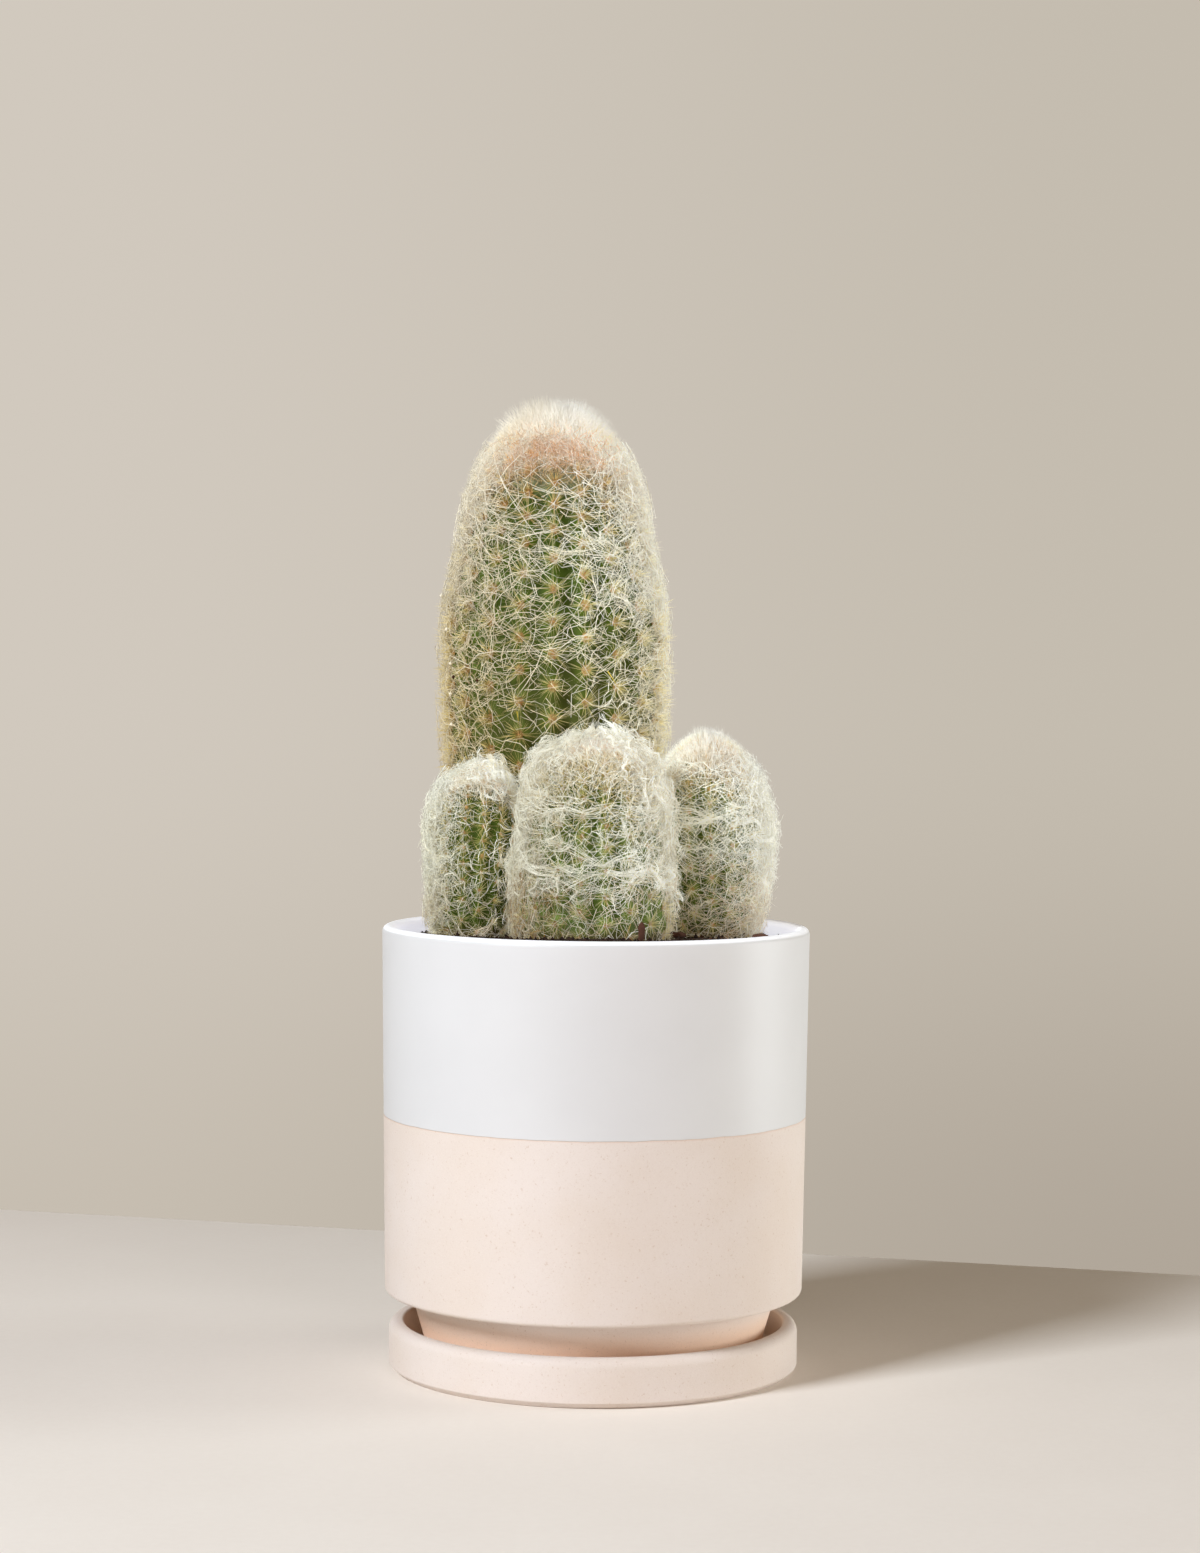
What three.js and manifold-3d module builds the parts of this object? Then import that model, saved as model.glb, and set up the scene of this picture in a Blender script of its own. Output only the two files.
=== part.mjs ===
// A potted old man cactus: four ribbed stems rooted in potting soil, in a cylindrical stoneware pot
// with a recessed foot that stands in a saucer. Millimetres, +Z up. The origin is on the pot's axis,
// at the surface that the saucer stands on; the tall stem stands towards +Y, the offsets towards -Y.

import * as THREE from "three";
import { mergeVertices } from "three/addons/utils/BufferGeometryUtils.js";
import Module from "manifold-3d";

const wasm = await Module();
wasm.setup();

// ---------------------------------------------------------------- driving dimensions

const ROUND_STEPS = 60; // facets round the pot, the saucer and the soil
const ARC_STEPS = 4; // facets along each rounded edge of a profile
const SOCKET_STEPS = 36; // facets round each stem's socket in the soil
const CONTACT_GAP = 0.3; // room kept where one solid is shaped to fit another

const SAUCER = {
  radius: 60.8,
  footRadius: 59, // the flat underside, inside the bevel
  bevelHeight: 1.8,
  height: 14.2,
  wall: 4.4,
  lipOutside: 2.8, // rounding of the lip's outer edge
  lipInside: 0.8,
  floor: 4,
  insideCorner: 2,
};

const POT = {
  rimRadius: 63.5,
  baseRadius: 62.1, // at the lower edge of the body, above the recessed foot
  rimHeight: 131.5,
  wall: 4,
  underside: 23, // height of the body's underside, over the saucer's rim
  lowerEdge: 1.4, // rounding between the body and its underside
  footTopRadius: 54.2,
  footRadius: 50, // at the foot's rounded lower edge
  footEdge: 4.5, // rounding of that edge
  footRingWidth: 8,
  footRecess: 2, // how far the underside inside the foot ring is raised
  floor: 3.5,
  shoulderFloor: 27, // inside height of the step above the foot
  insideCorner: 4, // rounding between that step and the wall
  wellRadius: 46.5, // inside radius of the foot, at its floor
  wellTopRadius: 49,
  drainRadius: 6.5,
};

const SOIL = {
  level: 128, // height of the surface on the pot's axis
  fall: 0.045, // how much it falls per millimetre towards +Y, banked against the front of the pot
};
const SOIL_BANK = 6; // more than the surface rises above its level anywhere in the pot

// Each outline is the skin over the rib crests: [height above the soil, radius]. The root under it tapers
// to a blunt point. lean is in degrees, towards +X and towards +Y.
const STEMS = [
  {
    name: "tall_stem",
    at: [-13.4, 26],
    lean: [0, 0],
    ribs: 20,
    ribDepth: 0.09,
    stepsPerRib: 4,
    rings: 16,
    rootDepth: 32,
    outline: [
      [0, 23.5],
      [30, 28],
      [60, 31.3],
      [95, 31.3],
      [115, 27.2],
      [134, 24],
      [146, 18.5],
      [153, 11.5],
      [156.5, 0],
    ],
  },
  {
    name: "front_stem",
    at: [-1, -20],
    lean: [0.5, -2],
    ribs: 18,
    ribDepth: 0.08,
    stepsPerRib: 2,
    rings: 11,
    rootDepth: 28,
    outline: [
      [0, 20.5],
      [12, 21.2],
      [30, 20],
      [42, 18.7],
      [50, 16.4],
      [56, 11.5],
      [59.5, 0],
    ],
  },
  {
    name: "right_stem",
    at: [34.5, 2],
    lean: [-2, 1],
    ribs: 16,
    ribDepth: 0.08,
    stepsPerRib: 2,
    rings: 11,
    rootDepth: 24,
    outline: [
      [0, 10.5],
      [10, 13.6],
      [22, 16],
      [33, 16.4],
      [42, 15],
      [51, 11.5],
      [57, 6.6],
      [59.5, 0],
    ],
  },
  {
    name: "left_stem",
    at: [-37.2, -8],
    lean: [2.5, 0],
    ribs: 14,
    ribDepth: 0.08,
    stepsPerRib: 2,
    rings: 10,
    rootDepth: 22,
    outline: [
      [0, 9.5],
      [13, 11],
      [28, 12.3],
      [40, 11.2],
      [47, 7.5],
      [51, 0],
    ],
  },
];

// Flakes of bark that lie on the soil: size is length, width and thickness, and turn is the heading of
// the length in degrees.
const BARK_CHIPS = [
  { name: "bark_chip_front", at: [13, -42.5], size: [2.8, 1.6, 5.4], turn: 10 },
  { name: "bark_chip_middle", at: [23.5, -25], size: [5.6, 4, 2.4], turn: 20 },
  { name: "bark_chip_right", at: [48, -20], size: [8, 3.4, 1.8], turn: -50 },
];

// ---------------------------------------------------------------- materials

const glazedStoneware = new THREE.MeshStandardMaterial({ color: 0xe9e8e6, roughness: 0.45 });
const bareStoneware = new THREE.MeshStandardMaterial({ color: 0xe6d3c4, roughness: 0.85 });
const pottingSoil = new THREE.MeshStandardMaterial({ color: 0x2e211a, roughness: 1 });
const cactusSkin = new THREE.MeshStandardMaterial({ color: 0x6f8a4e, roughness: 0.7 });
const bark = new THREE.MeshStandardMaterial({ color: 0x5a3423, roughness: 0.9 });

// ---------------------------------------------------------------- helpers

const radians = THREE.MathUtils.degToRad;

// Points of a rounded corner, from one angle to another about a centre in the (radius, height) plane.
function arc(centreRadius, centreHeight, size, fromDegrees, toDegrees) {
  return Array.from({ length: ARC_STEPS + 1 }, (_, i) => {
    const angle = radians(fromDegrees + ((toDegrees - fromDegrees) * i) / ARC_STEPS);
    return [centreRadius + size * Math.cos(angle), centreHeight + size * Math.sin(angle)];
  });
}

// A profile of [radius, height] points, turned about the Z axis.
function turned(profile, steps = ROUND_STEPS) {
  const points = profile.map(([radius, height]) => new THREE.Vector2(radius, height));
  return new THREE.LatheGeometry(points, steps).rotateX(Math.PI / 2);
}

// The same, for a ring-shaped piece whose profile closes on itself.
const turnedRing = (profile) => turned([...profile, profile[0]]);

function toSolid(geometry) {
  const bare = geometry.clone();
  bare.deleteAttribute("normal");
  bare.deleteAttribute("uv");
  const merged = mergeVertices(bare, 1e-4);
  return new wasm.Manifold(
    new wasm.Mesh({
      numProp: 3,
      vertProperties: merged.attributes.position.array,
      triVerts: new Uint32Array(merged.index.array),
    }),
  );
}

function toGeometry(solid) {
  const mesh = solid.getMesh();
  const geometry = new THREE.BufferGeometry();
  geometry.setAttribute("position", new THREE.BufferAttribute(mesh.vertProperties, 3));
  geometry.setIndex(new THREE.BufferAttribute(mesh.triVerts, 1));
  return geometry;
}

function named(name, geometry, material) {
  const mesh = new THREE.Mesh(geometry, material);
  mesh.name = name;
  return mesh;
}

const soilHeight = (y) => SOIL.level - SOIL.fall * y;

// ---------------------------------------------------------------- saucer and pot

function saucerGeometry() {
  const { radius, footRadius, bevelHeight, height, wall, lipOutside, lipInside, floor, insideCorner } = SAUCER;
  const inside = radius - wall;
  return turned([
    [0, 0],
    [footRadius, 0],
    [radius, bevelHeight],
    ...arc(radius - lipOutside, height - lipOutside, lipOutside, 0, 90),
    ...arc(inside + lipInside, height - lipInside, lipInside, 90, 180),
    ...arc(inside - insideCorner, floor + insideCorner, insideCorner, 0, -90),
    [0, floor],
  ]);
}

function potGeometry() {
  const foot = SAUCER.floor;
  const recess = foot + POT.footRecess;
  const ringInside = POT.footRadius - POT.footRingWidth;
  const lip = POT.wall / 2;
  const { underside, lowerEdge, footEdge, shoulderFloor, insideCorner } = POT;
  const footSlope = (POT.footTopRadius - POT.footRadius) / (underside - foot);
  const footTaper = -THREE.MathUtils.radToDeg(Math.atan(footSlope));
  const insideBase = POT.baseRadius - POT.wall;
  return turnedRing([
    [POT.drainRadius, recess],
    [ringInside, recess],
    [ringInside + 1, foot],
    ...arc(POT.footRadius - footEdge, foot + footEdge, footEdge, -90, footTaper),
    [POT.footTopRadius, underside],
    ...arc(POT.baseRadius - lowerEdge, underside + lowerEdge, lowerEdge, -90, 0),
    ...arc(POT.rimRadius - lip, POT.rimHeight - lip, lip, 0, 180),
    ...arc(insideBase - insideCorner, shoulderFloor + insideCorner, insideCorner, 0, -90),
    [POT.wellTopRadius, shoulderFloor],
    [POT.wellRadius, recess + POT.floor],
    [POT.drainRadius, recess + POT.floor],
  ]);
}

// ---------------------------------------------------------------- stems

// The stem's outline and the blunt root under it as one smooth curve of (radius, height) points.
function outlineCurve(stem) {
  const [, baseRadius] = stem.outline[0];
  const root = [
    [-stem.rootDepth, 0],
    [-0.96 * stem.rootDepth, 0.16 * baseRadius],
    [-0.6 * stem.rootDepth, 0.45 * baseRadius],
  ];
  const points = [...root, ...stem.outline].map(([height, radius]) => new THREE.Vector2(radius, height));
  return new THREE.SplineCurve(points);
}

// Points along the curve, closer together where it is long; the root takes three rings of its own.
function outlinePoints(stem, rings) {
  const curve = outlineCurve(stem);
  return curve.getSpacedPoints(rings + 3).map((p) => [Math.max(0, p.x), p.y]);
}

// How far the ribs stand out at a height: none at the soil, full a little above it, none at the tip.
function ribShare(stem, height) {
  const top = stem.outline.at(-1)[0];
  const above = THREE.MathUtils.smoothstep(height, 0.03 * top, 0.25 * top);
  const below = 1 - THREE.MathUtils.smoothstep(height, 0.88 * top, top);
  return above * below;
}

// A column of rings with rib crests on the outline and the furrows sunk between them.
function ribbedColumn(stem) {
  const around = stem.ribs * stem.stepsPerRib;
  const rings = outlinePoints(stem, stem.rings).slice(1, -1);
  const positions = [];
  const index = [];
  for (const [radius, height] of rings) {
    const depth = stem.ribDepth * ribShare(stem, height);
    for (let i = 0; i < around; i++) {
      const angle = (2 * Math.PI * i) / around;
      const furrow = 0.5 - 0.5 * Math.cos(stem.ribs * angle);
      const r = radius * (1 - depth * furrow);
      positions.push(r * Math.cos(angle), r * Math.sin(angle), height);
    }
  }
  const rootTip = positions.length / 3;
  positions.push(0, 0, -stem.rootDepth);
  positions.push(0, 0, stem.outline.at(-1)[0]);
  const crown = rootTip + 1;
  const lastRing = (rings.length - 1) * around;
  for (let i = 0; i < around; i++) {
    const next = (i + 1) % around;
    index.push(rootTip, next, i);
    index.push(crown, lastRing + i, lastRing + next);
    for (let ring = 0; ring < lastRing; ring += around) {
      index.push(ring + i, ring + next, ring + around + next);
      index.push(ring + i, ring + around + next, ring + around + i);
    }
  }
  const geometry = new THREE.BufferGeometry();
  geometry.setAttribute("position", new THREE.Float32BufferAttribute(positions, 3));
  geometry.setIndex(index);
  return geometry;
}

// Where a stem's own frame stands: on the soil level, leaning.
function stemPlace(stem) {
  const [towardsX, towardsY] = stem.lean.map(radians);
  const turn = new THREE.Euler(-towardsY, towardsX, 0);
  return new THREE.Matrix4()
    .makeRotationFromEuler(turn)
    .setPosition(stem.at[0], stem.at[1], SOIL.level);
}

// The hole that a stem's root and foot leave in the soil: the same outline, a contact gap larger.
function socketSolid(stem) {
  const buried = outlinePoints(stem, stem.rings).filter(([, height]) => height < 1.5 * SOIL_BANK);
  const grown = buried.map(([radius, height]) => [radius + CONTACT_GAP, height]);
  const [topRadius] = grown.at(-1);
  const top = 2.5 * SOIL_BANK;
  const profile = [[0, -stem.rootDepth - CONTACT_GAP], ...grown, [topRadius, top], [0, top]];
  return toSolid(turned(profile, SOCKET_STEPS).applyMatrix4(stemPlace(stem)));
}

// ---------------------------------------------------------------- soil

// The inside of the pot, filled past its rim and then cut down to the sloping surface and the sockets.
function soilGeometry() {
  const floor = SAUCER.floor + POT.footRecess + POT.floor;
  const insideBase = POT.baseRadius - POT.wall - CONTACT_GAP;
  const insideRim = POT.rimRadius - POT.wall - CONTACT_GAP;
  const corner = POT.insideCorner;
  const step = POT.shoulderFloor + CONTACT_GAP;
  const heaped = POT.rimHeight + SOIL_BANK;
  const filled = toSolid(
    turned([
      [0, floor],
      [POT.wellRadius - CONTACT_GAP, floor],
      [POT.wellTopRadius - CONTACT_GAP, step],
      ...arc(insideBase - corner, step + corner, corner, -90, 0),
      [insideRim, heaped],
      [0, heaped],
    ]),
  );
  const airWidth = 4 * POT.rimRadius;
  const airHeight = POT.rimRadius;
  const air = new THREE.BoxGeometry(airWidth, airWidth, airHeight)
    .translate(0, 0, airHeight / 2)
    .rotateX(-Math.atan(SOIL.fall))
    .translate(0, 0, SOIL.level);
  const holes = STEMS.map(socketSolid);
  return toGeometry(holes.reduce((soil, hole) => soil.subtract(hole), filled.subtract(toSolid(air))));
}

// ---------------------------------------------------------------- bark chips

// A thin flake with a six-sided outline, thinner at its ends.
function barkGeometry(chip) {
  const [length, width, thickness] = chip.size;
  const shape = new THREE.Shape([
    new THREE.Vector2(-0.5 * length, -0.2 * width),
    new THREE.Vector2(-0.1 * length, -0.5 * width),
    new THREE.Vector2(0.42 * length, -0.36 * width),
    new THREE.Vector2(0.5 * length, 0.16 * width),
    new THREE.Vector2(0.06 * length, 0.5 * width),
    new THREE.Vector2(-0.44 * length, 0.28 * width),
  ]);
  return new THREE.ExtrudeGeometry(shape, { depth: thickness, bevelEnabled: false });
}

function barkMesh(chip) {
  const mesh = named(chip.name, barkGeometry(chip), bark);
  const onSoil = new THREE.Matrix4().makeRotationX(-Math.atan(SOIL.fall));
  const heading = new THREE.Matrix4().makeRotationZ(radians(chip.turn));
  mesh.applyMatrix4(onSoil.multiply(heading));
  mesh.position.set(chip.at[0], chip.at[1], soilHeight(chip.at[1]) + CONTACT_GAP);
  return mesh;
}

// ---------------------------------------------------------------- the assembly

const pottedCactus = new THREE.Group();
pottedCactus.add(named("saucer", saucerGeometry(), bareStoneware));
pottedCactus.add(named("pot", potGeometry(), glazedStoneware));
pottedCactus.add(named("potting_soil", soilGeometry(), pottingSoil));
for (const stem of STEMS) {
  const mesh = named(stem.name, ribbedColumn(stem), cactusSkin);
  mesh.applyMatrix4(stemPlace(stem));
  pottedCactus.add(mesh);
}
for (const chip of BARK_CHIPS) {
  pottedCactus.add(barkMesh(chip));
}

export default pottedCactus;
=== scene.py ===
# %% [markdown]
# # A potted old man cactus
# A woolly column cactus with three shorter offsets stands in a two-tone stoneware pot on its saucer.
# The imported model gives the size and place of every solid. This lesson gives each one its fine shape and
# its finish: turned stoneware, crumbly soil, ribbed skin, and then the hair that makes this plant what it
# is. Blender's particle hair can't be handed on to other programs, so every hair here is real mesh, worked
# out with numpy.

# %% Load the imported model
import math

import bpy
import numpy as np
from mathutils import Matrix, Vector


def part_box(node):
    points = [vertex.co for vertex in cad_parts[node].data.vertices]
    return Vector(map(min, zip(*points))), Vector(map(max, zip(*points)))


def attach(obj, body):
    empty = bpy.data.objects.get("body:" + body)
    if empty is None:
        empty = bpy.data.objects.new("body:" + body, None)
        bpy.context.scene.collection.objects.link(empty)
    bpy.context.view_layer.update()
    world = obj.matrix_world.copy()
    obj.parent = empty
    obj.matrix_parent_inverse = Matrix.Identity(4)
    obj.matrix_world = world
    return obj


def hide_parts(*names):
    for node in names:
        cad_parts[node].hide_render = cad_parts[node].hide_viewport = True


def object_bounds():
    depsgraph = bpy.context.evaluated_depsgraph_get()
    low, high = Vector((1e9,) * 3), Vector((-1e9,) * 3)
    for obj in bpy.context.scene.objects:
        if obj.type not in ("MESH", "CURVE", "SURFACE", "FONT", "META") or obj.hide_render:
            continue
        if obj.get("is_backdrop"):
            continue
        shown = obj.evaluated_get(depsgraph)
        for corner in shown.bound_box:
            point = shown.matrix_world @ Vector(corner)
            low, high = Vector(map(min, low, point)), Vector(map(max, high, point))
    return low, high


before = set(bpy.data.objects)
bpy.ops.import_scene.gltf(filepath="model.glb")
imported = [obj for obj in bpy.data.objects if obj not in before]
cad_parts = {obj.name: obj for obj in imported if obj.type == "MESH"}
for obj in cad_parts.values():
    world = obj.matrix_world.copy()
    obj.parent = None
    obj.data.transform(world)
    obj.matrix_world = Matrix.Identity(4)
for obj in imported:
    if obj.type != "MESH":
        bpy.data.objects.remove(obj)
packed_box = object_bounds()
MM = 0.001  # shapes are worked out in millimetres, and Blender's unit is the metre


def box_of(node):
    """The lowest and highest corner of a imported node, in millimetres."""
    low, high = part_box(node)
    return np.array(low) / MM, np.array(high) / MM


print("packed nodes:", sorted(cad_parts))

# %% [markdown]
# ## Looking at it
# A long lens a metre away keeps the pot's sides nearly parallel. The camera is a little above the rim and
# looks slightly down, so the rim and the saucer show as thin ellipses.

# %% The camera
PICTURE = (1200, 1553)  # width and height of the render
FOCAL = 3200  # focal length, in the same steps as the render's height
SENSOR = 36.0
CAMERA_PLACE = Vector((0.8, -951, 202)) * MM
CAMERA_DOWN = math.radians(1.58)
CAMERA_ROLL = math.radians(0.46)

lens = bpy.data.cameras.new("studio_camera")
lens.sensor_width = SENSOR
lens.lens = FOCAL / max(PICTURE) * SENSOR
camera = bpy.data.objects.new("studio_camera", lens)
bpy.context.scene.collection.objects.link(camera)
looking = Matrix.Rotation(math.pi / 2 - CAMERA_DOWN, 4, "X") @ Matrix.Rotation(CAMERA_ROLL, 4, "Z")
camera.matrix_world = Matrix.Translation(CAMERA_PLACE) @ looking
bpy.context.scene.camera = camera
bpy.context.scene.view_settings.view_transform = "Standard"
print(f"camera: {lens.lens:.1f} mm lens")

# %% [markdown]
# ## A small language for finishes
# A finish is a tree of shader nodes. Wiring nodes one by one hides the idea, so two small classes let a
# finish be written as a sum: `Value` wraps a socket and turns + - and * into Math nodes, and `Finish` has one
# method, `node`, for every other kind of node.


# %% Shader maths as Python expressions
class Value:
    """An output socket. Arithmetic with it adds Math nodes to its tree."""

    def __init__(self, tree, socket):
        self.tree = tree
        self.socket = socket

    def maths(self, operation, first, second):
        return self.tree.node("ShaderNodeMath", {"operation": operation}, {0: first, 1: second})

    def __add__(self, other):
        return self.maths("ADD", self, other)

    __radd__ = __add__

    def __sub__(self, other):
        return self.maths("SUBTRACT", self, other)

    def __rsub__(self, other):
        return self.maths("SUBTRACT", other, self)

    def __mul__(self, other):
        return self.maths("MULTIPLY", self, other)

    __rmul__ = __mul__

    def over(self, low, high):
        """0 on low's side, 1 on high's side, and a smooth step between."""
        settings = {"interpolation_type": "SMOOTHSTEP"}
        return self.tree.node("ShaderNodeMapRange", settings, {0: self, 1: low, 2: high})


def colour(red, green, blue):
    """A colour given as on a screen, 0 to 255, in the linear numbers that shaders use."""
    shares = [c / 255 for c in (red, green, blue)]
    return (*[s / 12.92 if s <= 0.04045 else ((s + 0.055) / 1.055) ** 2.4 for s in shares], 1.0)


BLACK = colour(0, 0, 0)


# %% Trees of nodes, and a finish
class Nodes:
    """A tree of shader nodes, to which nodes are added by name."""

    def __init__(self, tree):
        self.tree = tree

    def feed(self, socket, value):
        if isinstance(value, Value):
            self.tree.links.new(value.socket, socket)
        else:
            socket.default_value = value

    def node(self, kind, settings, inputs, output=0):
        """Adds a node: its settings first, then the values or links of its sockets."""
        made = self.tree.nodes.new(kind)
        for setting, value in settings.items():
            setattr(made, setting, value)
        for socket, value in inputs.items():
            self.feed(made.inputs[socket], value)
        return Value(self, made.outputs[output])

    def mix(self, share, first, second):
        """Two colours mixed: the first where share is 0, the second where it is 1."""
        return self.node("ShaderNodeMix", {"data_type": "RGBA"}, {0: share, 6: first, 7: second}, 2)


class Finish(Nodes):
    """A material with one Principled shader, whose sockets are set by name."""

    def __init__(self, name, roughness, specular=0.5):
        self.material = bpy.data.materials.new(name)
        self.material.use_nodes = True
        super().__init__(self.material.node_tree)
        self.shader = self.tree.nodes["Principled BSDF"]
        self.wear("Roughness", roughness)
        self.wear("Specular IOR Level", specular)

    def wear(self, socket, value):
        self.feed(self.shader.inputs[socket], value)

    def place(self):
        """Where a point of the piece is, in metres."""
        return self.node("ShaderNodeTexCoord", {}, {}, "Object")

    def height(self):
        """How high a point of the piece is, in millimetres."""
        return self.node("ShaderNodeSeparateXYZ", {}, {0: self.place()}, "Z") * (1 / MM)

    def distance(self):
        """How far a point of the piece is from the pot's axis, in millimetres."""
        flat = {0: self.place(), 1: (1, 1, 0)}
        level = self.node("ShaderNodeVectorMath", {"operation": "MULTIPLY"}, flat)
        return self.node("ShaderNodeVectorMath", {"operation": "LENGTH"}, {0: level}, "Value") * (1 / MM)

    def noise(self, size, detail=2.0, roughness=0.5, stretch=(1, 1, 1)):
        """Smooth noise from 0 to 1, with patches about this many millimetres across."""
        stretched = self.node("ShaderNodeMapping", {}, {"Vector": self.place(), "Scale": stretch})
        inputs = {"Vector": stretched, "Scale": 1 / (size * MM), "Detail": detail, "Roughness": roughness}
        return self.node("ShaderNodeTexNoise", {}, inputs)

    def bump(self, height, depth, strength=1.0):
        """A normal that makes the surface look embossed by height, this many millimetres deep."""
        inputs = {"Height": height, "Distance": depth * MM, "Strength": strength}
        return self.node("ShaderNodeBump", {}, inputs)


print("finishes can be written as sums")

# %% [markdown]
# ## Studio
# The table is a plain pale board with its back edge turned a little, as it would stand against a wall. The
# wall itself is only a colour all round, so that nothing stands between the plant and a camera that goes
# round it. A broad lamp high on the left in front gives one soft shadow. Two weaker lamps, on the right and
# in front, stand for white cards that lift the shaded side, and the dim world fills the rest.


# %% Mesh from numbers
def mesh_object(name, points, face_groups, finish, sharp_degrees=None, tints=None):
    """A mesh object from points in millimetres and arrays of triangles or quads."""
    mesh = bpy.data.meshes.new(name)
    corners = np.concatenate([faces.ravel() for faces in face_groups]).astype(np.int32)
    sizes = np.concatenate([np.full(len(faces), faces.shape[1]) for faces in face_groups])
    starts = np.concatenate([[0], np.cumsum(sizes)[:-1]]).astype(np.int32)
    mesh.vertices.add(len(points))
    mesh.vertices.foreach_set("co", (points * MM).astype(np.float32).ravel())
    mesh.loops.add(len(corners))
    mesh.loops.foreach_set("vertex_index", corners)
    mesh.polygons.add(len(sizes))
    mesh.polygons.foreach_set("loop_start", starts)
    mesh.polygons.foreach_set("use_smooth", np.ones(len(sizes), bool))
    mesh.update(calc_edges=True)
    if sharp_degrees is not None:
        mesh.set_sharp_from_angle(angle=math.radians(sharp_degrees))
    if tints is not None:
        layer = mesh.color_attributes.new("tint", "FLOAT_COLOR", "POINT")
        layer.data.foreach_set("color", tints.astype(np.float32).ravel())
    mesh.materials.append(finish.material)
    made = bpy.data.objects.new(name, mesh)
    bpy.context.scene.collection.objects.link(made)
    return made


triangle_counts = {}


def piece(name, made, replaced=()):
    """Finishes a piece: it rides with the plant, the imported nodes that it replaces are hidden, and its
    triangles are counted.
    """
    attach(made, "root")
    if replaced:
        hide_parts(*replaced)
    triangle_counts[name] = sum(len(face.vertices) - 2 for face in made.data.polygons)
    print(f"{name}: {triangle_counts[name]} triangles")


# %% Table
TABLE_BACK = 211  # how far behind the pot the table ends, on the pot's axis
TABLE_TURN = math.radians(-15.2)
TABLE_REACH = 3000
TABLE_THICKNESS = 30

table_finish = Finish("pale_table", roughness=0.75)
mottle = table_finish.noise(60, 4) * 0.6 + table_finish.noise(2.5, 3) * 0.4
table_finish.wear("Base Color", table_finish.mix(mottle, colour(236, 226, 215), colour(246, 238, 228)))
table_finish.wear("Normal", table_finish.bump(table_finish.noise(1.5, 3), 0.05))

corner_signs = np.array([(-1, -2), (1, -2), (1, 0), (-1, 0)])
top = np.column_stack([corner_signs * TABLE_REACH, np.zeros(4)])
table_points = np.concatenate([top, top - [0, 0, TABLE_THICKNESS]])
turn = np.array(Matrix.Rotation(TABLE_TURN, 3, "Z"))
table_points = table_points @ turn.T + [0, TABLE_BACK, 0]
table_faces = np.array([(0, 1, 2, 3), (7, 6, 5, 4), (0, 4, 5, 1), (1, 5, 6, 2), (2, 6, 7, 3), (3, 7, 4, 0)])
table = mesh_object("table", table_points, [table_faces], table_finish, sharp_degrees=30)
table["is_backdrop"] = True
print("the table is set")

# %% Air
# The camera sees a greige wall in every direction, with painted shade that makes it a little darker to the
# right and low down. The plant is lit by a dim warm sky, which fills the cool lamps' shadows with yellow
# light.
WALL = colour(209, 201, 190)
WALL_SHADED_RIGHT = colour(196, 188, 175)
WALL_SHADED_LOW = colour(198, 189, 176)
WALL_SHADED_LOW_RIGHT = colour(176, 166, 153)
SKY = colour(255, 196, 70)
SKY_STRENGTH = 0.10
WALL_SWING = 0.19  # how far to a side, as part of a direction, the wall goes on changing

world = bpy.data.worlds.new("air")
bpy.context.scene.world = world
world.use_nodes = True
air = Nodes(world.node_tree)
direction = air.node("ShaderNodeTexCoord", {}, {}, "Generated")
# painted shade: the wall is darker to the right and low down
rightwards = air.node("ShaderNodeSeparateXYZ", {}, {0: direction}, "X").over(-WALL_SWING, WALL_SWING)
downwards = 1 - air.node("ShaderNodeSeparateXYZ", {}, {0: direction}, "Z").over(-WALL_SWING, 0.0)
high_wall = air.mix(rightwards, WALL, WALL_SHADED_RIGHT)
low_wall = air.mix(rightwards, WALL_SHADED_LOW, WALL_SHADED_LOW_RIGHT)
wall = air.node("ShaderNodeBackground", {}, {"Color": air.mix(downwards, high_wall, low_wall)})
sky = air.node("ShaderNodeBackground", {}, {"Color": SKY, "Strength": SKY_STRENGTH})
camera_ray = air.node("ShaderNodeLightPath", {}, {}, "Is Camera Ray")
mirror_ray = air.node("ShaderNodeLightPath", {}, {}, "Is Glossy Ray")
seen = camera_ray.maths("MAXIMUM", camera_ray, mirror_ray)
either = air.node("ShaderNodeMixShader", {}, {0: seen, 1: sky, 2: wall})
air.feed(air.tree.nodes["World Output"].inputs["Surface"], either)
print("the air is mixed")

# %% Lamps
LAMP_AIM = Vector((0, 0, 120)) * MM  # the pot's rim, nearly


def soft_lamp(name, towards, distance, width, power, tone):
    """A square lamp, this far from the plant in millimetres and aimed at it."""
    light = bpy.data.lights.new(name, "AREA")
    light.shape = "SQUARE"
    light.size = width * MM
    light.energy = power
    light.color = tone
    lamp = bpy.data.objects.new(name, light)
    bpy.context.scene.collection.objects.link(lamp)
    heading = Vector(towards).normalized()
    lamp.location = LAMP_AIM + heading * distance * MM
    lamp.rotation_mode = "QUATERNION"
    lamp.rotation_quaternion = heading.to_track_quat("Z", "Y")


soft_lamp("window", (-0.723, -0.69, 0.67), distance=1800, width=450, power=36.6, tone=(0.84, 0.91, 1.0))
soft_lamp("side_card", (0.99, 0.10, 0.07), distance=1600, width=700, power=20.4, tone=(0.92, 0.98, 1.0))
soft_lamp("front_card", (0.35, -0.93, 0.08), distance=1600, width=700, power=5.9, tone=(1.0, 0.92, 0.94))
print("lamps:", [light.name for light in bpy.data.lights])
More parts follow.
